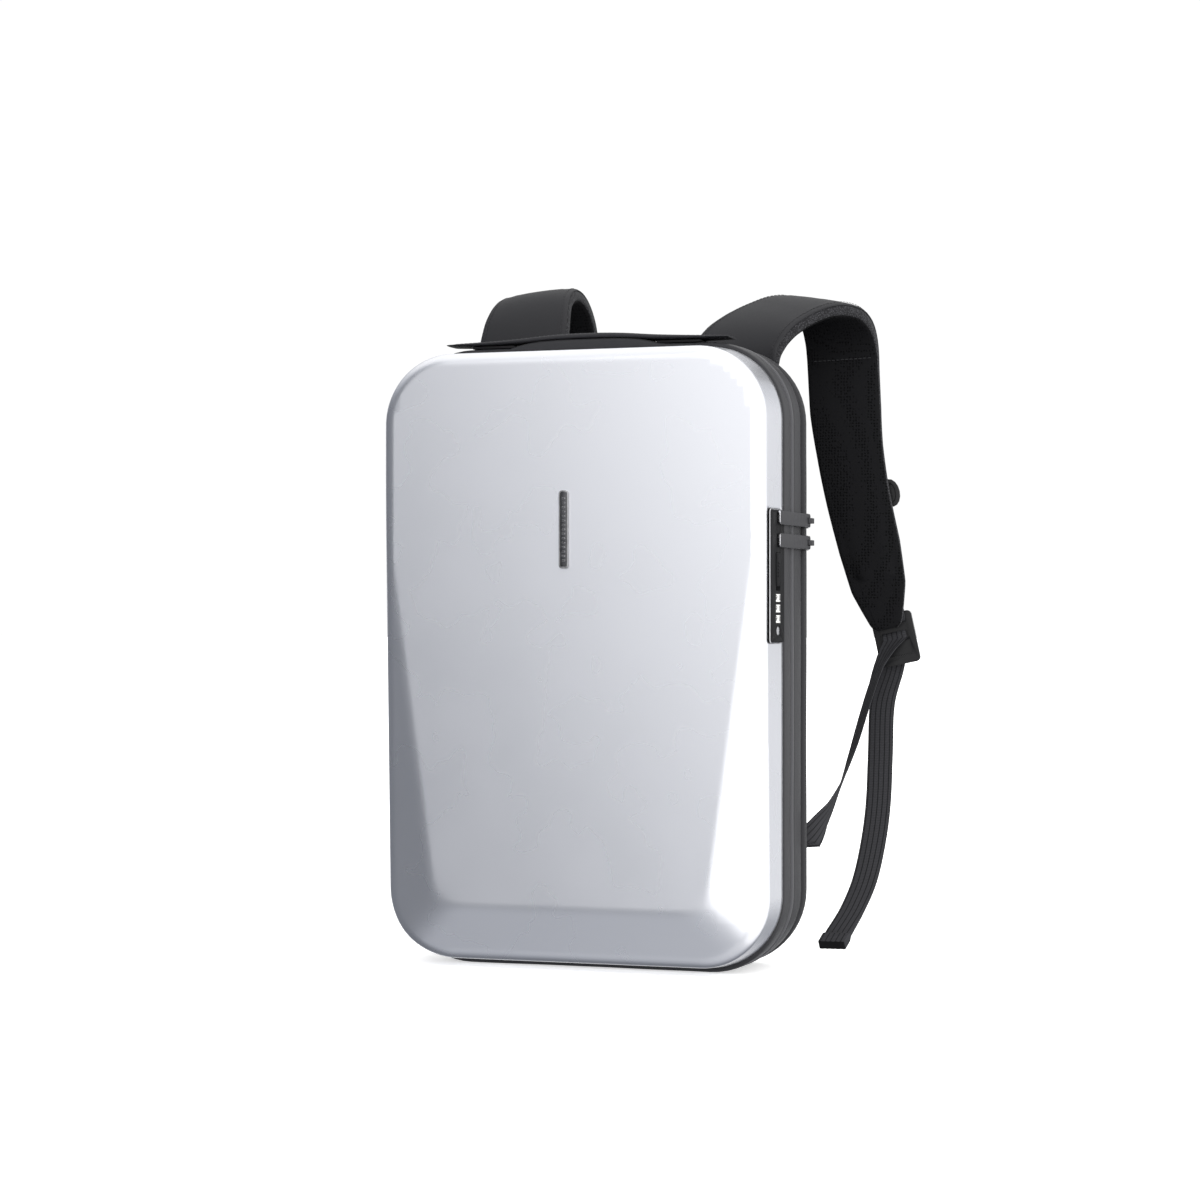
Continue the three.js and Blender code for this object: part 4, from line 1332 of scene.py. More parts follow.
@dataclass
class Lock:
    """Combination lock in the shell's side.

    Attributes:
        edge: rounding of its small edges.
        rim: how near the plate's rim a face is bright.
        rim_lean: how squarely such a face looks sideways, at least and at most.
        dials: number of dials.
        digit_height: height of a number.
        type_size: size of its type, as a share of its height.
        type_steps: steps of the type's curves.
        digit_rise: how far the numbers stand off the wheel.
        tilt: how far the number that shows is turned, as the shell's side leans.
        release_ribs: grip ribs on the release.
        release_pitch: length from rib to rib.
        release_rib: size of a rib.
        release_sink: how deep it lies in the release.
    """

    edge: float = 0.16
    rim: float = 1.0
    rim_lean: tuple[float, float] = (0.45, 0.95)
    dials: int = 3
    digit_height: float = 4.1
    type_size: float = 1.35
    type_steps: int = 3
    digit_rise: float = 0.03
    tilt: float = math.atan2(FrontShell.draft, FrontShell.depth)
    release_ribs: int = 5
    release_pitch: float = 2.4
    release_rib: Vector = Vector((0.7, 6.0, 0.9))
    release_sink: float = 0.15

    def build(self) -> list[bpy.types.Object]:
        """Models the lock.

        Returns:
            The pieces.
        """
        return [self.housing(), *self.wheels(), self.release(), self.cylinder()]

    def housing(self) -> bpy.types.Object:
        """The plate and its body, with a bright rim round the plate.

        Returns:
            The piece.
        """
        bm = carried("lock_housing")
        low, high = box_of("lock_housing")
        least, most = self.rim_lean
        for face in bm.faces:
            centre = face.calc_center_median()
            near = min(centre.z - low.z, high.z - centre.z, centre.y - low.y,
                       high.y - centre.y)
            if least < face.normal.x < most and near < self.rim:
                face.material_index = 1
        return make_piece("lock_plate", bm, [LOCK_PLASTIC, BRIGHT_EDGE],
                          stands_for=["lock_housing"], crease=25.0)

    def digits(self) -> list[bpy.types.Mesh]:
        """Flat meshes of the numbers 0 to 9.

        Returns:
            The meshes in order.
        """
        meshes = []
        for number in range(10):
            curve = bpy.data.curves.new("digit", "FONT")
            curve.body = str(number)
            curve.size = self.digit_height * self.type_size
            curve.align_x = "CENTER"
            curve.align_y = "CENTER"
            curve.resolution_u = self.type_steps
            holder = bpy.data.objects.new("digit", curve)
            bpy.context.scene.collection.objects.link(holder)
            bpy.context.view_layer.update()
            meshes.append(bpy.data.meshes.new_from_object(holder))
            bpy.data.objects.remove(holder)
        return meshes

    def wheels(self) -> list[bpy.types.Object]:
        """The number wheels.

        Returns:
            The wheels and their numbers.
        """
        pieces = []
        digits = self.digits()
        for index in range(1, self.dials + 1):
            node, body = f"lock_dial_{index}", f"dial_{index}"
            wheel = carried(node)
            chamfer(wheel, self.edge, 2)
            pieces += [
                make_piece(f"dial_wheel_{index}", wheel, [DIAL_PLASTIC],
                           body, [node], crease=25.0),
                make_piece(f"dial_numbers_{index}", self.stamped(node, digits), [DIAL_INK],
                           body),
            ]
        return pieces

    def stamped(self, node: str, digits: Sequence[bpy.types.Mesh]) -> BMesh:
        """The numbers round one wheel.

        Args:
            node: the wheel's CAD node.
            digits: flat meshes of the numbers.

        Returns:
            The numbers.
        """
        low, high = box_of(node)
        centre = Matrix.Translation((low + high) / 2)
        rise = Matrix.Translation(((high.x - low.x) / 2 + self.digit_rise, 0.0, 0.0))
        upright = Matrix((REAR, UP, SIDEWAYS)).transposed().to_4x4()
        numbers = bmesh.new()
        for number, digit in enumerate(digits):
            angle = number * math.tau / len(digits) - self.tilt
            turn = Matrix.Rotation(angle, 4, "Z")
            stamp = bmesh.new()
            stamp.from_mesh(digit)
            stamp.transform(centre @ turn @ rise @ upright)
            joined = bpy.data.meshes.new("digit")
            stamp.to_mesh(joined)
            stamp.free()
            numbers.from_mesh(joined)
            bpy.data.meshes.remove(joined)
        return numbers

    def release(self) -> bpy.types.Object:
        """The release slide with its grip ribs.

        Returns:
            The piece.
        """
        bm = carried("lock_release")
        low, high = box_of("lock_release")
        centre = (low + high) / 2
        for index in range(self.release_ribs):
            z = centre.z + (index - (self.release_ribs - 1) / 2) * self.release_pitch
            place = Vector((high.x - self.release_sink, centre.y, z))
            add_block(bm, place, self.release_rib)
        return make_piece("release_slide", bm, [LOCK_PLASTIC], "release",
                          ["lock_release"], crease=25.0)

    def cylinder(self) -> bpy.types.Object:
        """The key cylinder.

        Returns:
            The piece.
        """
        bm = carried("lock_cylinder")
        chamfer(bm, self.edge, 2)
        return make_piece("key_cylinder", bm, [KEY_STEEL], "cylinder",
                          ["lock_cylinder"])


# Soft body


@dataclass
class SoftBody:
    """The cloth body behind the shell, in bands from the front to the back.

    Attributes:
        outline: its outer edge.
        inner: how thick its cloth wall is.
        ripple: how far the cloth wanders.
        ripple_scale: its waves per millimetre.
        puff: how far its top stands up between the handle's anchors.
        puff_middle: where that is highest.
        puff_half: half the length of that part.
        lip_end: depth where the piped lip ends.
        tooth: length, depth and height of a zip tooth.
        tooth_pitch: length from tooth to tooth of one row.
        tooth_shift: how far each row stands beside the zip's middle.
        zip_depth: depth of the zip's middle.
        zip_inset: how deep the zip lies.
        binding: inset and depth of the points of the band beside the shell.
        gusset: the same of the lip and the wide band behind it.
        tape: the same of the zip's tape.
        tray: the same of the tray at the back.
        seams: the same of the rows of stitches.
    """

    outline: Outline = Outline(151.0, 232.0, 57.0)
    inner: float = 4.3
    ripple: float = 0.3
    ripple_scale: float = 0.02
    puff: float = 5.8
    puff_middle: float = -3.0
    puff_half: float = 60.0
    lip_end: float = -8.0
    tooth: Vector = Vector((1.2, 1.5, 0.9))
    tooth_pitch: float = 2.0
    tooth_shift: float = 0.55
    zip_depth: float = 21.5
    zip_inset: float = 2.8
    binding: Section = (
        (2.6, -35.7), (1.3, -35.2), (0.5, -33.9), (0.1, -31.5), (-0.2, -27.0),
        (-0.2, -22.0), (0.0, -18.0), (0.4, -16.4), (1.3, -15.2), (3.4, -14.2),
    )
    gusset: Section = (
        (3.4, -13.7), (1.2, -13.4), (0.1, -12.5), (-0.5, -11.0), (-0.5, -9.6),
        (0.1, -8.5), (1.6, -7.7), (1.7, -6.9), (0.6, -5.6), (0.2, -2.0), (0.0, 3.0),
        (0.0, 9.0), (0.2, 13.5), (0.7, 16.0), (1.5, 17.6), (2.6, 18.6), (3.7, 19.0),
    )
    tape: Section = ((3.5, 19.3), (3.4, 20.4), (3.4, 22.6), (3.5, 23.7))
    tray: Section = (
        (4.3, 34.8), (4.3, 24.3), (2.9, 24.0), (1.5, 24.3), (0.5, 25.3), (0.0, 27.0),
        (-0.2, 29.0), (0.0, 31.0), (0.6, 33.4), (1.8, 35.6), (3.4, 37.1), (5.6, 37.9),
        (9.0, 38.0), (20.0, 38.0),
    )
    seams: Section = ((0.35, -16.6), (0.85, -6.0), (0.55, 15.6), (0.1, 27.2))

    def band(self, section: Section) -> BMesh:
        """Carries a closed section round the outline.

        Args:
            section: inset and depth of its points, from front to back.

        Returns:
            The band.
        """
        base = self.outline.base()
        rings = [self.draped(inset, y, base) for inset, y in section]
        rings += [self.outline.ring(self.inner, section[-1][1], base),
                  self.outline.ring(self.inner, section[0][1], base)]
        return loft(rings, closed=True)

    def draped(self, inset: float, y: float, base: Sequence[Vector]) -> list[Vector]:
        """Points round the body's cloth, which puffs up under the handle.

        Args:
            inset: how far inside the outline.
            y: depth of the ring.
            base: points round the outline.

        Returns:
            The ring.
        """
        ring = rippled(self.outline.ring(inset, y, base), self.ripple, self.ripple_scale)
        for point in ring:
            away = (point.x - self.puff_middle) / self.puff_half
            if point.z > self.outline.middle and abs(away) < 1:
                point.z += self.puff * (1 - away ** 4)
            point.z = max(point.z, 0.0)
        return ring

    def seam(self, inset: float, y: float) -> list[Vector]:
        """A closed line round the body."""
        line = self.draped(inset, y, self.outline.base())
        return [*line, line[0]]

    def build(self) -> list[bpy.types.Object]:
        """Models the bands, the zip and the seams.

        Returns:
            The pieces.
        """
        gusset = self.band(self.gusset)
        self.paint_lip(gusset)
        return [
            make_piece("binding_band", self.band(self.binding), [BAND_CLOTH],
                       stands_for=["rim_binding"], crease=70.0),
            make_piece("gusset_band", gusset, [BAND_CLOTH, LIP_CLOTH],
                       stands_for=["side_gusset"], crease=70.0),
            # The zip tape's near black is partly painted shade in its groove.
            make_piece("zip_tape", self.band(self.tape), [TAPE_CLOTH],
                       stands_for=["zipper_tape"], crease=70.0),
            make_piece("zip_teeth", self.teeth(), [ZIP_TEETH]),
            make_piece("back_shell", self.back(), [BAND_CLOTH],
                       stands_for=["back_frame"], crease=70.0),
            make_piece("body_stitching", self.stitching(), [DARK_THREAD]),
        ]

    def paint_lip(self, bm: BMesh) -> None:
        """Gives the piped lip its own, smoother cloth."""
        for face in bm.faces:
            if face.calc_center_median().y < self.lip_end:
                face.material_index = 1

    def teeth(self) -> BMesh:
        """The closed zip's two rows of teeth.

        Returns:
            The teeth.
        """
        bm = bmesh.new()
        line = self.seam(self.zip_inset, self.zip_depth)
        for index, (place, along) in enumerate(spaced(line, self.tooth_pitch / 2)):
            side = self.tooth_shift if index % 2 else -self.tooth_shift
            axes = (along, REAR, self.outline.outward(place))
            add_block(bm, place + REAR * side, self.tooth, axes)
        bmesh.ops.recalc_face_normals(bm, faces=bm.faces[:])
        return bm

    def back(self) -> BMesh:
        """The shallow tray that closes the body at the back.

        Returns:
            The tray.
        """
        base = self.outline.base()
        inner = [self.outline.ring(inset, y, base) for inset, y in self.tray[:2]]
        return loft(inner + [self.draped(inset, y, base) for inset, y in self.tray[2:]])

    def stitching(self) -> BMesh:
        """Rows of stitches beside the bands' seams.

        Returns:
            The stitches.
        """
        bm = bmesh.new()
        for inset, y in self.seams:
            sew(bm, self.seam(inset, y), self.outline.outward)
        return bm


@dataclass
class ZipPulls:
    """The zip's two sliders and the long pulls that reach into the lock.

    Attributes:
        edge: rounding of the metal.
        broad: how squarely a face of a pull looks sideways that stays dark.
    """

    edge: float = 0.2
    broad: float = 0.6

    def build(self) -> list[bpy.types.Object]:
        """Models both sliders and both pulls.

        Returns:
            The pieces.
        """
        pieces = []
        for place in ("upper", "lower"):
            slider = carried(f"zip_slider_{place}")
            pull = carried(f"zip_pull_{place}")
            for metal in (slider, pull):
                chamfer(metal, self.edge, 2)
            for face in pull.faces:
                face.normal_update()
                if abs(face.normal.x) < self.broad:
                    face.material_index = 1
            pieces += [
                make_piece(f"slider_{place}", slider, [GUNMETAL],
                           stands_for=[f"zip_slider_{place}"]),
                make_piece(f"pull_tab_{place}", pull, [GUNMETAL, BRIGHT_EDGE],
                           f"pull_{place}", [f"zip_pull_{place}"]),
            ]
        return pieces


# Back panel, handle and straps


@dataclass
class BackPanel:
    """Quilted mesh pad on the back.

    Attributes:
        outline: its edge.
        face: depth of its outer face.
        seat: depth of the side that lies on the bag.
        channel: half width of a sewn channel.
        channel_cuts: places of the cuts beside a channel.
        sink: how deep the channels are.
        rows: heights of the channels that run across.
        step: size of the faces.
        inset: how far inside the outline its flat face ends.
        rim: inset of each ring of its rim, and how far that lies behind the face.
    """

    outline: Outline = Outline(128.0, 209.0, 34.0)
    face: float = 44.3
    seat: float = 38.3
    channel: float = 9.0
    channel_cuts: tuple[float, ...] = (-8.0, -5.0, -2.0, 2.0, 5.0, 8.0)
    sink: float = 2.8
    rows: tuple[float, ...] = (150.0, 300.0)
    step: float = 6.0
    inset: float = 5.0
    rim: Section = ((2.6, 0.5), (1.0, 1.5), (0.2, 3.0), (0.0, 4.6), (0.6, 6.0))

    def depth(self, x: float, z: float) -> float:
        """How deep the face lies at a point, sunk at the channels."""
        places = [abs(x), *(abs(z - row) for row in self.rows)]
        nearest = min(places) / self.channel
        groove = 1 - nearest * nearest * (3 - 2 * nearest) if nearest < 1 else 0.0
        return self.face - self.sink * groove

    def beside(self, point: Vector, inset: float, fall: float) -> Vector:
        """The place on the pad's rim beside a point of it.

        Args:
            point: the point.
            inset: how far inside the outline the place lies.
            fall: how far it lies behind the face.

        Returns:
            The place.
        """
        level = self.depth(point.x, point.z)
        share = fall / (self.face - self.seat)
        return self.outline.at(point, inset, level + (self.seat - level) * share)

    def build(self) -> bpy.types.Object:
        """Models the pad.

        Returns:
            The piece.
        """
        bm = self.outline.flat(self.inset, self.face)
        middle, half = self.outline.middle, self.outline.half_height
        cut_grid(bm, self.step, self.outline.half_width, middle - half, middle + half)
        for way, line in ((SIDEWAYS, 0.0), *((UP, row) for row in self.rows)):
            for shift in self.channel_cuts:
                bisect(bm, way * (line + shift), way)
        edges = [edge for edge in bm.edges if edge.is_boundary]
        for vert in bm.verts:
            vert.co.y = self.depth(vert.co.x, vert.co.z)
        for inset, fall in self.rim:
            edges = pull_out(bm, edges, lambda vert: self.beside(vert.co, inset, fall))
        bmesh.ops.edgeloop_fill(bm, edges=edges)
        bmesh.ops.recalc_face_normals(bm, faces=bm.faces[:])
        pad = make_piece("back_quilt", bm, [AIR_MESH],
                         stands_for=["back_pad"], crease=60.0)
        return pad


@dataclass
class CarryHandle:
    """Flat springy handle on the top.

    Attributes:
        finer_steps: steps between two of its stations.
        anchor_edge: rounding of its two anchors.
        stitch_inset: how far the stitches lie inside its edge.
        stitch_height: how high they lie, as a share of half its thickness.
    """

    finer_steps: int = 6
    anchor_edge: float = 0.5
    stitch_inset: float = 2.6
    stitch_height: float = 0.68

    def section(self, station: Station) -> list[tuple[float, float]]:
        """The handle's section: flat faces and rounded, pressed edges.

        Args:
            station: where it is.

        Returns:
            Points across and out.
        """
        a, b = station.half_width, station.half_thick
        half = [(0.0, b), (a * 0.5, b * 0.98), (a - 4.0, b * 0.9), (a - 2.6, b * 0.66),
                (a - 1.4, b * 0.62), (a - 0.4, b * 0.35), (a, 0.0)]
        upper = half + [(u, -v) for u, v in reversed(half[:-1])]
        return upper + [(-u, v) for u, v in reversed(upper[1:-1])]

    def build(self) -> list[bpy.types.Object]:
        """Models the handle, its stitches and its anchors.

        Returns:
            The pieces.
        """
        stations = finer(read_stations("top_handle", lambda point: point.x, UP),
                         self.finer_steps)
        rings = [[item.at(u, v) for u, v in self.section(item)] for item in stations]
        strip = loft(rings)
        thread = bmesh.new()
        for side in (-1, 1):
            line = [item.at(side * (item.half_width - self.stitch_inset),
                            item.half_thick * self.stitch_height)
                    for item in stations[BARE_END:-BARE_END]]
            sew(thread, line, lambda point: UP)
        pieces = [
            make_piece("carry_strip", strip, [HANDLE_CLOTH],
                       stands_for=["top_handle"], crease=60.0),
            make_piece("handle_stitching", thread, [DARK_THREAD]),
        ]
        for side in Side:
            anchor = carried(f"handle_anchor_{side.value}")
            chamfer(anchor, self.anchor_edge, 2)
            pieces.append(make_piece(f"anchor_{side.value}", anchor, [LOCK_PLASTIC],
                                     stands_for=[f"handle_anchor_{side.value}"]))
        return pieces


# Half of the strap's section, from the middle of its outer face to that of its inner one:
# share of the half width, how far in from there, and how deep below the outer face in
# millimetres of a pad of full thickness.
PAD_SECTION = [
    (0.0, 0.0, -1.3), (0.3, 0.0, -1.2), (0.6, 0.0, -0.8), (1.0, 9.0, -0.3),
    (1.0, 5.0, 0.0), (1.0, 3.2, 0.3), (1.0, 1.6, 0.7), (1.0, 0.6, 1.4), (1.0, 0.4, 2.1),
    (1.0, 1.2, 2.5), (1.0, 0.5, 3.1), (1.0, 0.0, 5.0), (1.0, 0.0, 8.0), (1.0, 0.3, 9.6),
    (1.0, 1.1, 10.1), (1.0, 0.7, 10.7), (1.0, 1.8, 11.6), (1.0, 4.0, 12.0),
    (1.0, 9.0, 12.3), (0.6, 0.0, 12.7), (0.3, 0.0, 12.9), (0.0, 0.0, 13.0),
]
# Thickness of a full pad, and where its edging and its inner face start in that list.
FULL_THICK = 12.0
GUSSET_START = 9
INNER_START = 14

# How far out the patch and the webbing on a lower corner of the bag reach.
CORNER_REACH = 146.0


@dataclass(frozen=True)
class Fitting:
    """A buckle, loop or tab of a strap.

    Attributes:
        label: the piece's name without its side.
        node: the CAD node's name without its side.
        edge: rounding of its edges.
        fuller: how far its faces stand out past the CAD node's.
        finish: its finish.
        slot: the record's slot of it; not used.
        plate: whether a thinner plate closes its slots.
        reach: how far out it reaches at most.
    """

    label: str
    node: str
    edge: float
    fuller: float
    finish: Finish
    slot: Slot
    plate: bool = False
    reach: float = math.inf


FITTINGS = (
    Fitting("buckle", "strap_buckle", 1.1, 0.9, BUCKLE_PLASTIC, Slot.BUCKLE_BLACK,
            plate=True),
    Fitting("keeper", "strap_keeper", 0.66, 0.8, BUCKLE_PLASTIC, Slot.BUCKLE_BLACK,
            plate=True),
    Fitting("end_tab", "strap_end_tab", 0.4, 1.3, HANDLE_CLOTH, Slot.HANDLE_CLOTH),
    Fitting("corner_patch", "corner_tab", 0.6, 0.0, TAPE_CLOTH, Slot.BODY_CLOTH,
            reach=CORNER_REACH),
)


@dataclass
class ShoulderStrap:
    """One padded shoulder strap with its buckle and webbing.

    Attributes:
        side: which strap it is.
        pad_steps: steps between two stations of the pad.
        web_steps: steps between two stations of the webbing.
        web_ribs: lengthwise ribs of the webbing.
        rib_depth: depth of the grooves between them.
        hem: length of the fold sewn at its free end.
        hem_fold: how many times as thick as the webbing that is.
        far_part: added to the height of the webbing's points on the bag's corner, so that
            it is followed from its other end.
        near_corner: how far behind the corner's tab those points start.
        seam_height: height of the seam across the inner face.
        seam_depth: how deep that seam is drawn in.
        seam_inset: how far inside the pad's edge its stitches end.
        seam_steps: steps of their line.
        edge_inset: how far inside the outer face's edge its stitches run.
        edge_stitch: length, width and height of one of those.
        stitch_rise: how far the stitches' middles stand off the cloth.
        ripple: how far the pad's cloth wanders.
        ripple_scale: its waves per millimetre.
        squeeze: how fast the section's insets grow with the pad's thickness.
        end_shrink: size of the pad's last rings, as a share, from its end.
        patch_depth: how deep the webbing lies on the patch at most.
        patch_top: how high it lies on it at most.
        plate_reach: size of the plate that closes the buckle, as a share of it.
        plate_share: its thickness as a share of the buckle's.
    """

    side: Side
    pad_steps: int = 3
    web_steps: int = 2
    web_ribs: int = 5
    rib_depth: float = 0.4
    hem: float = 9.0
    hem_fold: float = 2.4
    far_part: float = 1000.0
    near_corner: float = 8.0
    seam_height: float = 511.0
    seam_depth: float = 0.9
    seam_inset: float = 6.0
    seam_steps: int = 16
    edge_inset: float = 4.0
    edge_stitch: Vector = Vector((2.4, 0.45, 0.3))
    stitch_rise: float = 0.1
    ripple: float = 0.5
    ripple_scale: float = 0.016
    squeeze: float = 1.6
    end_shrink: tuple[float, ...] = (0.72, 0.93, 0.99)
    patch_depth: float = 50.0
    patch_top: float = 90.0
    plate_reach: float = 0.97
    plate_share: float = 0.5

    def pad_ring(self, station: Station, sink: float, shrink: float) -> list[Vector]:
        """One ring of the pad.

        Args:
            station: where it is.
            sink: how far the inner face is drawn in.
            shrink: share of its full size.

        Returns:
            The ring's points.
        """
        a, b = station.half_width, station.half_thick
        deep = 2 * b / FULL_THICK
        half = []
        for index, (share, inwards, below) in enumerate(PAD_SECTION):
            u = share * a - inwards * min(1.0, deep * self.squeeze)
            v = b - below * deep
            if index > INNER_START:
                v += sink
            half.append((u * shrink, v * shrink))
        points = half + [(-u, v) for u, v in reversed(half[1:-1])]
        return [station.at(u, v) for u, v in points]

    def pad(self) -> list[bpy.types.Object]:
        """The foam pad, its cloth faces and the seam across its inside.

        Returns:
            The pad and its stitches.
        """
        name = f"strap_pad_{self.side.value}"
        stations = finer(read_stations(name, lambda point: point.z, REAR), self.pad_steps)
        down = stations[: len(stations) // 2]
        seam = min(range(len(down)), key=lambda i: abs(down[i].centre.z - self.seam_height))
        last = len(stations) - 1
        rings = []
        for index, item in enumerate(stations):
            end = min(index, last - index)
            shrink = self.end_shrink[end] if end < len(self.end_shrink) else 1.0
            ring = self.pad_ring(item, self.seam_depth if index == seam else 0.0, shrink)
            rings.append(rippled(ring, self.ripple, self.ripple_scale))
        bm = loft(rings)
        self.paint_pad(bm, len(rings[0]))
        piece = make_piece(f"shoulder_pad_{self.side.value}", bm,
                           [STRAP_CLOTH, STRAP_KNIT, AIR_MESH],
                           stands_for=[name], crease=70.0)
        return [piece, self.pad_stitches(stations, stations[seam])]

    def paint_pad(self, bm: BMesh, count: int) -> None:
        """Gives the pad's edging and its inner face their own cloth.

        Args:
            bm: the pad.
            count: points in each of its rings.
        """
        slot = bm.verts.layers.int["slot"]
        for face in bm.faces:
            place = zone(face, count, slot)
            place = place if place < count // 2 else count - 1 - place
            if place >= INNER_START:
                face.material_index = 2
            elif place >= GUSSET_START or place < 0:
                face.material_index = 1

    def pad_stitches(
        self, stations: Sequence[Station], seam: Station
    ) -> bpy.types.Object:
        """The stitches along the pad's edges and of the seam across its inside.

        Args:
            stations: the pad's stations.
            seam: the one of the seam.

        Returns:
            The piece.
        """
        thread = bmesh.new()
        reach = seam.half_width - self.seam_inset
        deep = -seam.half_thick - self.stitch_rise
        line = [seam.at(reach * (2 * step / self.seam_steps - 1), deep)
                for step in range(self.seam_steps + 1)]
        sew(thread, line, lambda point: -seam.out)
        for edge in (-1, 1):
            row = [(item.at(edge * (item.half_width - self.edge_inset),
                            item.half_thick + self.stitch_rise), item.out)
                   for item in stations[BARE_END:-BARE_END]]
            sew(thread, [place for place, _ in row], lambda point: min(
                row, key=lambda known: (known[0] - point).length_squared)[1],
                size=self.edge_stitch)
        return make_piece(f"strap_stitching_{self.side.value}", thread, [DARK_THREAD])

    def web_section(self, station: Station) -> list[tuple[float, float]]:
        """The webbing's section, with its ribs.

        Args:
            station: where it is.

        Returns:
            Points across and out.
        """
        a, b = station.half_width, station.half_thick
        marks = 2 * self.web_ribs
        face = []
        for index in range(marks + 1):
            deep = self.rib_depth if index % 2 == 0 else 0.0
            face.append((a * (1 - 2 * index / marks), b - deep))
        return face + [(-u, -v) for u, v in face]

    def webbing(self) -> bpy.types.Object:
        """The webbing from its corner tab through the buckle to its free end.

        Returns:
            The piece.
        """
        name = f"strap_webbing_{self.side.value}"
        behind = box_of(f"corner_tab_{self.side.value}")[1].y + self.near_corner
        known = read_stations(
            name, lambda point: point.z + (0.0 if point.y < behind else self.far_part), REAR)
        stations = finer(known, self.web_steps)
        end = stations[-1].centre
        for item in stations:
            if (item.centre - end).length < self.hem:
                item.half_thick *= self.hem_fold
        rings = [[item.at(u, v) for u, v in self.web_section(item)] for item in stations]
        for ring in rings:
            for point in ring:
                if point.y < self.patch_depth and point.z < self.patch_top:
                    point.x = max(-CORNER_REACH, min(CORNER_REACH, point.x))
        return make_piece(f"webbing_{self.side.value}", loft(rings), [WEB_CLOTH],
                          stands_for=[name], crease=70.0)

    def close_back(self, bm: BMesh) -> None:
        """Fills the slots of a plastic part with a thinner plate of its own outline."""
        points = [vert.co.copy() for vert in bm.verts]
        centre, (thin, *_) = main_axes(points)
        plate = []
        for point in points:
            away = (point - centre) * self.plate_reach
            away -= thin * away.dot(thin) * (1 - self.plate_share)
            plate.append(bm.verts.new(centre + away))
        made = bmesh.ops.convex_hull(bm, input=plate)
        bmesh.ops.delete(bm, geom=made["geom_interior"], context="VERTS")

    def hardware(self) -> list[bpy.types.Object]:
        """Buckle, keeper and the two sewn tabs.

        Returns:
            The pieces.
        """
        pieces = []
        for part in FITTINGS:
            node = f"{part.node}_{self.side.value}"
            bm = carried(node)
            bm.normal_update()
            for vert in bm.verts:
                vert.co += vert.normal * part.fuller
                vert.co.x = max(-part.reach, min(part.reach, vert.co.x))
            chamfer(bm, part.edge, 3)
            if part.plate:
                self.close_back(bm)
            pieces.append(make_piece(f"{part.label}_{self.side.value}", bm, [part.finish],
                                     stands_for=[node]))
        return pieces

    def build(self) -> list[bpy.types.Object]:
        """Models the whole strap.

        Returns:
            The pieces.
        """
        return [*self.pad(), self.webbing(), *self.hardware()]


# Studio


@dataclass(frozen=True)
class Screen:
    """A bright part of the surroundings.

    Attributes:
        toward: its direction.
        start: where its glow starts, as the cosine of the angle from it.
        full: where the glow is full.
        gain: how bright it is there.
    """

    toward: Vector
    start: float
    full: float
    gain: float


@dataclass(frozen=True)
class Softbox:
    """A rectangular lamp.

    Attributes:
        name: its name.
        place: where it hangs, in metres.
        size: its width and height in metres.
        power: its power in watts.
    """

    name: str
    place: Vector
    size: tuple[float, float]
    power: float


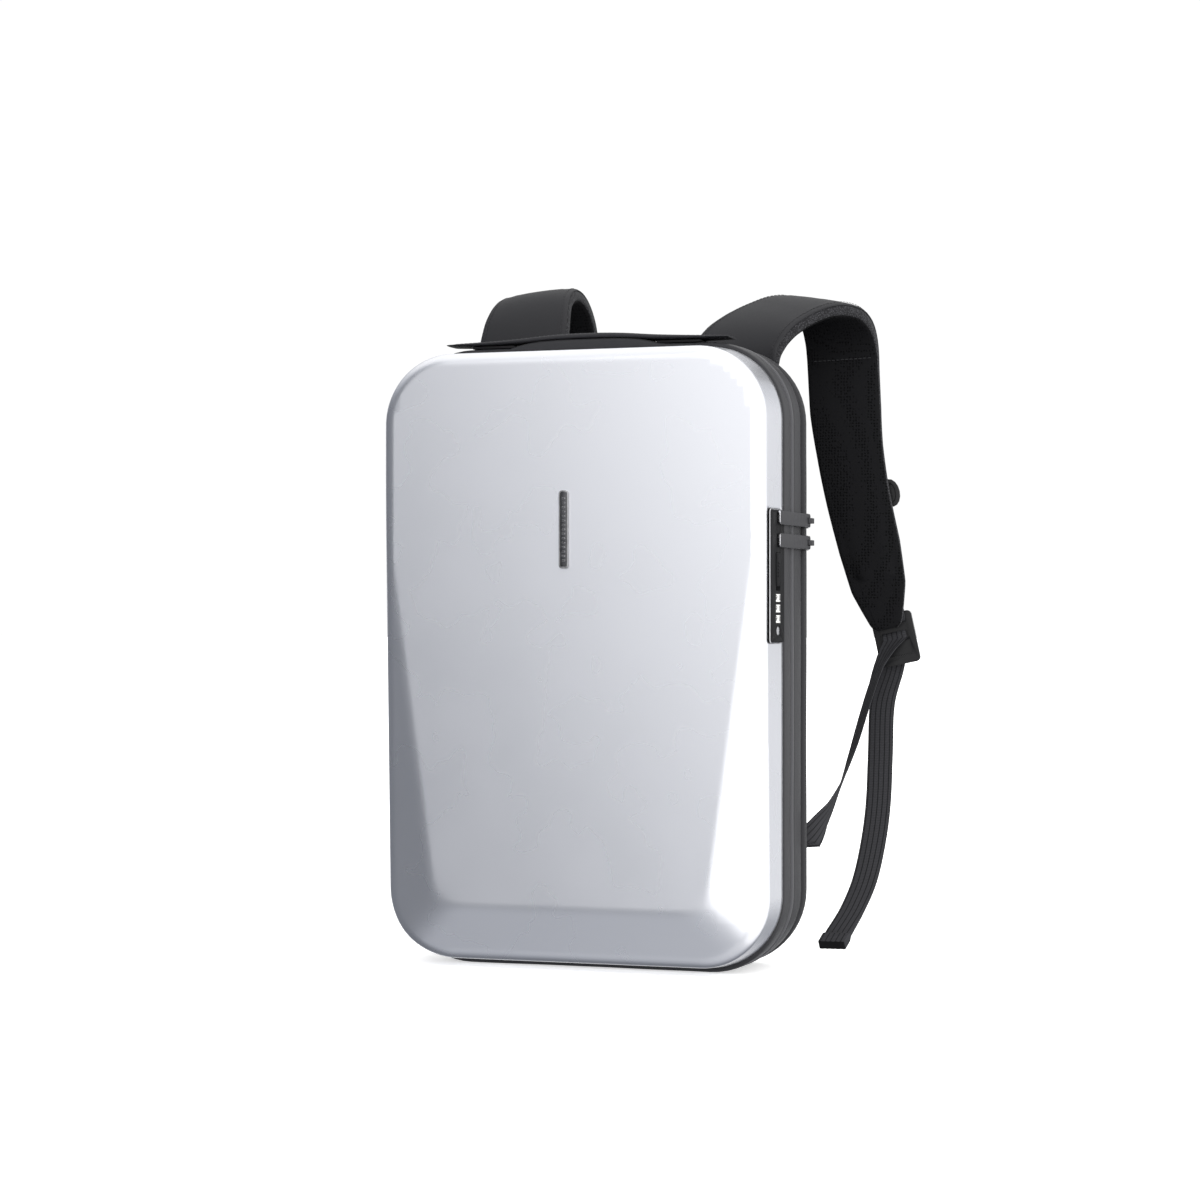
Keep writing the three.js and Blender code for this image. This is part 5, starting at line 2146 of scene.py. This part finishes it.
@dataclass
class Studio:
    """Pale floor, soft lights and the camera.

    Attributes:
        floor_reach: half the floor's size in metres.
        floor_parts: faces along one side of it.
        dim: brightness of the darkest surroundings.
        shade: their colour.
        screens: the bright parts of the surroundings.
        softboxes: the lamps.
        target: the point that they look at, in metres.
        lens: the camera's focal length.
        sensor: its sensor's width.
        eye: its place in metres.
        look: how it is turned about x and z, in degrees.
    """

    floor_reach: float = 40.0
    floor_parts: int = 8
    dim: float = 0.19
    shade: Colour = (0.8, 0.86, 1.0)
    screens: tuple[Screen, ...] = (
        Screen(Vector((-0.32, 0.95, 0.0)), 0.75, 0.94, 1.02),
        Screen(Vector((0.397, -0.852, 0.342)), 0.605, 0.86, 2.15),
        Screen(Vector((0.97, -0.1, 0.2)), 0.1, 0.5, 1.35),
        Screen(Vector((0.1, 0.1, 1.0)), 0.1, 0.8, 1.2),
        Screen(Vector((0.5, -0.5, -0.8)), 0.3, 0.95, 0.75),
    )
    softboxes: tuple[Softbox, ...] = (
        Softbox("key", Vector((1.3, -1.5, 1.3)), (0.9, 1.2), 2.0),
        Softbox("top", Vector((0.3, 0.5, 2.2)), (1.8, 1.4), 5.0),
    )
    target: Vector = Vector((0.0, 0.0, 0.25))
    lens: float = 80.46
    sensor: float = 36.0
    eye: Vector = Vector((0.646, -1.930, 0.258))
    look: tuple[float, float] = (90.46, 18.57)

    def floor(self) -> None:
        """The pale floor under the bag, which glows by itself as painted light, only takes its
        shadow and lends no light.
        """
        bm = bmesh.new()
        bmesh.ops.create_grid(bm, x_segments=self.floor_parts, y_segments=self.floor_parts,
                              size=self.floor_reach)
        mesh = bpy.data.meshes.new("floor")
        bm.to_mesh(mesh)
        bm.free()
        mesh.materials.append(GLOWING_FLOOR.material())
        floor = bpy.data.objects.new("floor", mesh)
        floor.visible_diffuse = False
        floor.visible_glossy = False
        bpy.context.scene.collection.objects.link(floor)

    def lamp(self, box: Softbox) -> None:
        """Adds one lamp."""
        light = bpy.data.lights.new(box.name, "AREA")
        light.shape = "RECTANGLE"
        light.size, light.size_y = box.size
        light.energy = box.power
        lamp = bpy.data.objects.new(box.name, light)
        lamp.location = box.place
        lamp.rotation_euler = (self.target - box.place).to_track_quat("-Z", "Y").to_euler()
        bpy.context.scene.collection.objects.link(lamp)

    def surroundings(self) -> None:
        """A white sweep behind the bag, bright screens to its right and a dim left."""
        world = bpy.data.worlds.new("studio")
        shader = Shader(world, "Background")
        place = shader.add("ShaderNodeTexCoord")
        total = None
        for screen in self.screens:
            facing = shader.add(
                "ShaderNodeVectorMath",
                {"operation": "DOT_PRODUCT"},
                {0: place.outputs["Generated"], 1: screen.toward.normalized()},
            )
            share = Wire(shader, facing.outputs["Value"]).ramp(screen.start, screen.full)
            glow = share * (screen.gain - self.dim) + self.dim
            total = total.most(glow) if total else glow
        shader.dress({"Strength": total, "Color": shader.blend(total, self.shade, WHITE)})
        bpy.context.scene.world = world

    def camera(self) -> None:
        """The camera at the photograph's viewing angle."""
        lens = bpy.data.cameras.new("camera")
        lens.lens = self.lens
        lens.sensor_width = self.sensor
        camera = bpy.data.objects.new("camera", lens)
        camera.location = self.eye
        tilt, turn = self.look
        camera.rotation_euler = (math.radians(tilt), 0.0, math.radians(turn))
        bpy.context.scene.collection.objects.link(camera)
        bpy.context.scene.camera = camera

    def build(self) -> None:
        """Sets the floor, the lights and the camera."""
        self.floor()
        self.surroundings()
        bpy.context.scene.view_settings.view_transform = "Standard"
        for box in self.softboxes:
            self.lamp(box)
        self.camera()


def main() -> None:
    """Builds the bag piece by piece, then the studio."""
    logging.basicConfig(level=logging.INFO, format="%(message)s")
    noise.seed_set(RIPPLE_SEED)
    FrontShell().build()
    Badge().build()
    Lock().build()
    SoftBody().build()
    ZipPulls().build()
    BackPanel().build()
    CarryHandle().build()
    for side in Side:
        ShoulderStrap(side).build()
    Studio().build()


if __name__ == "__main__":
    main()
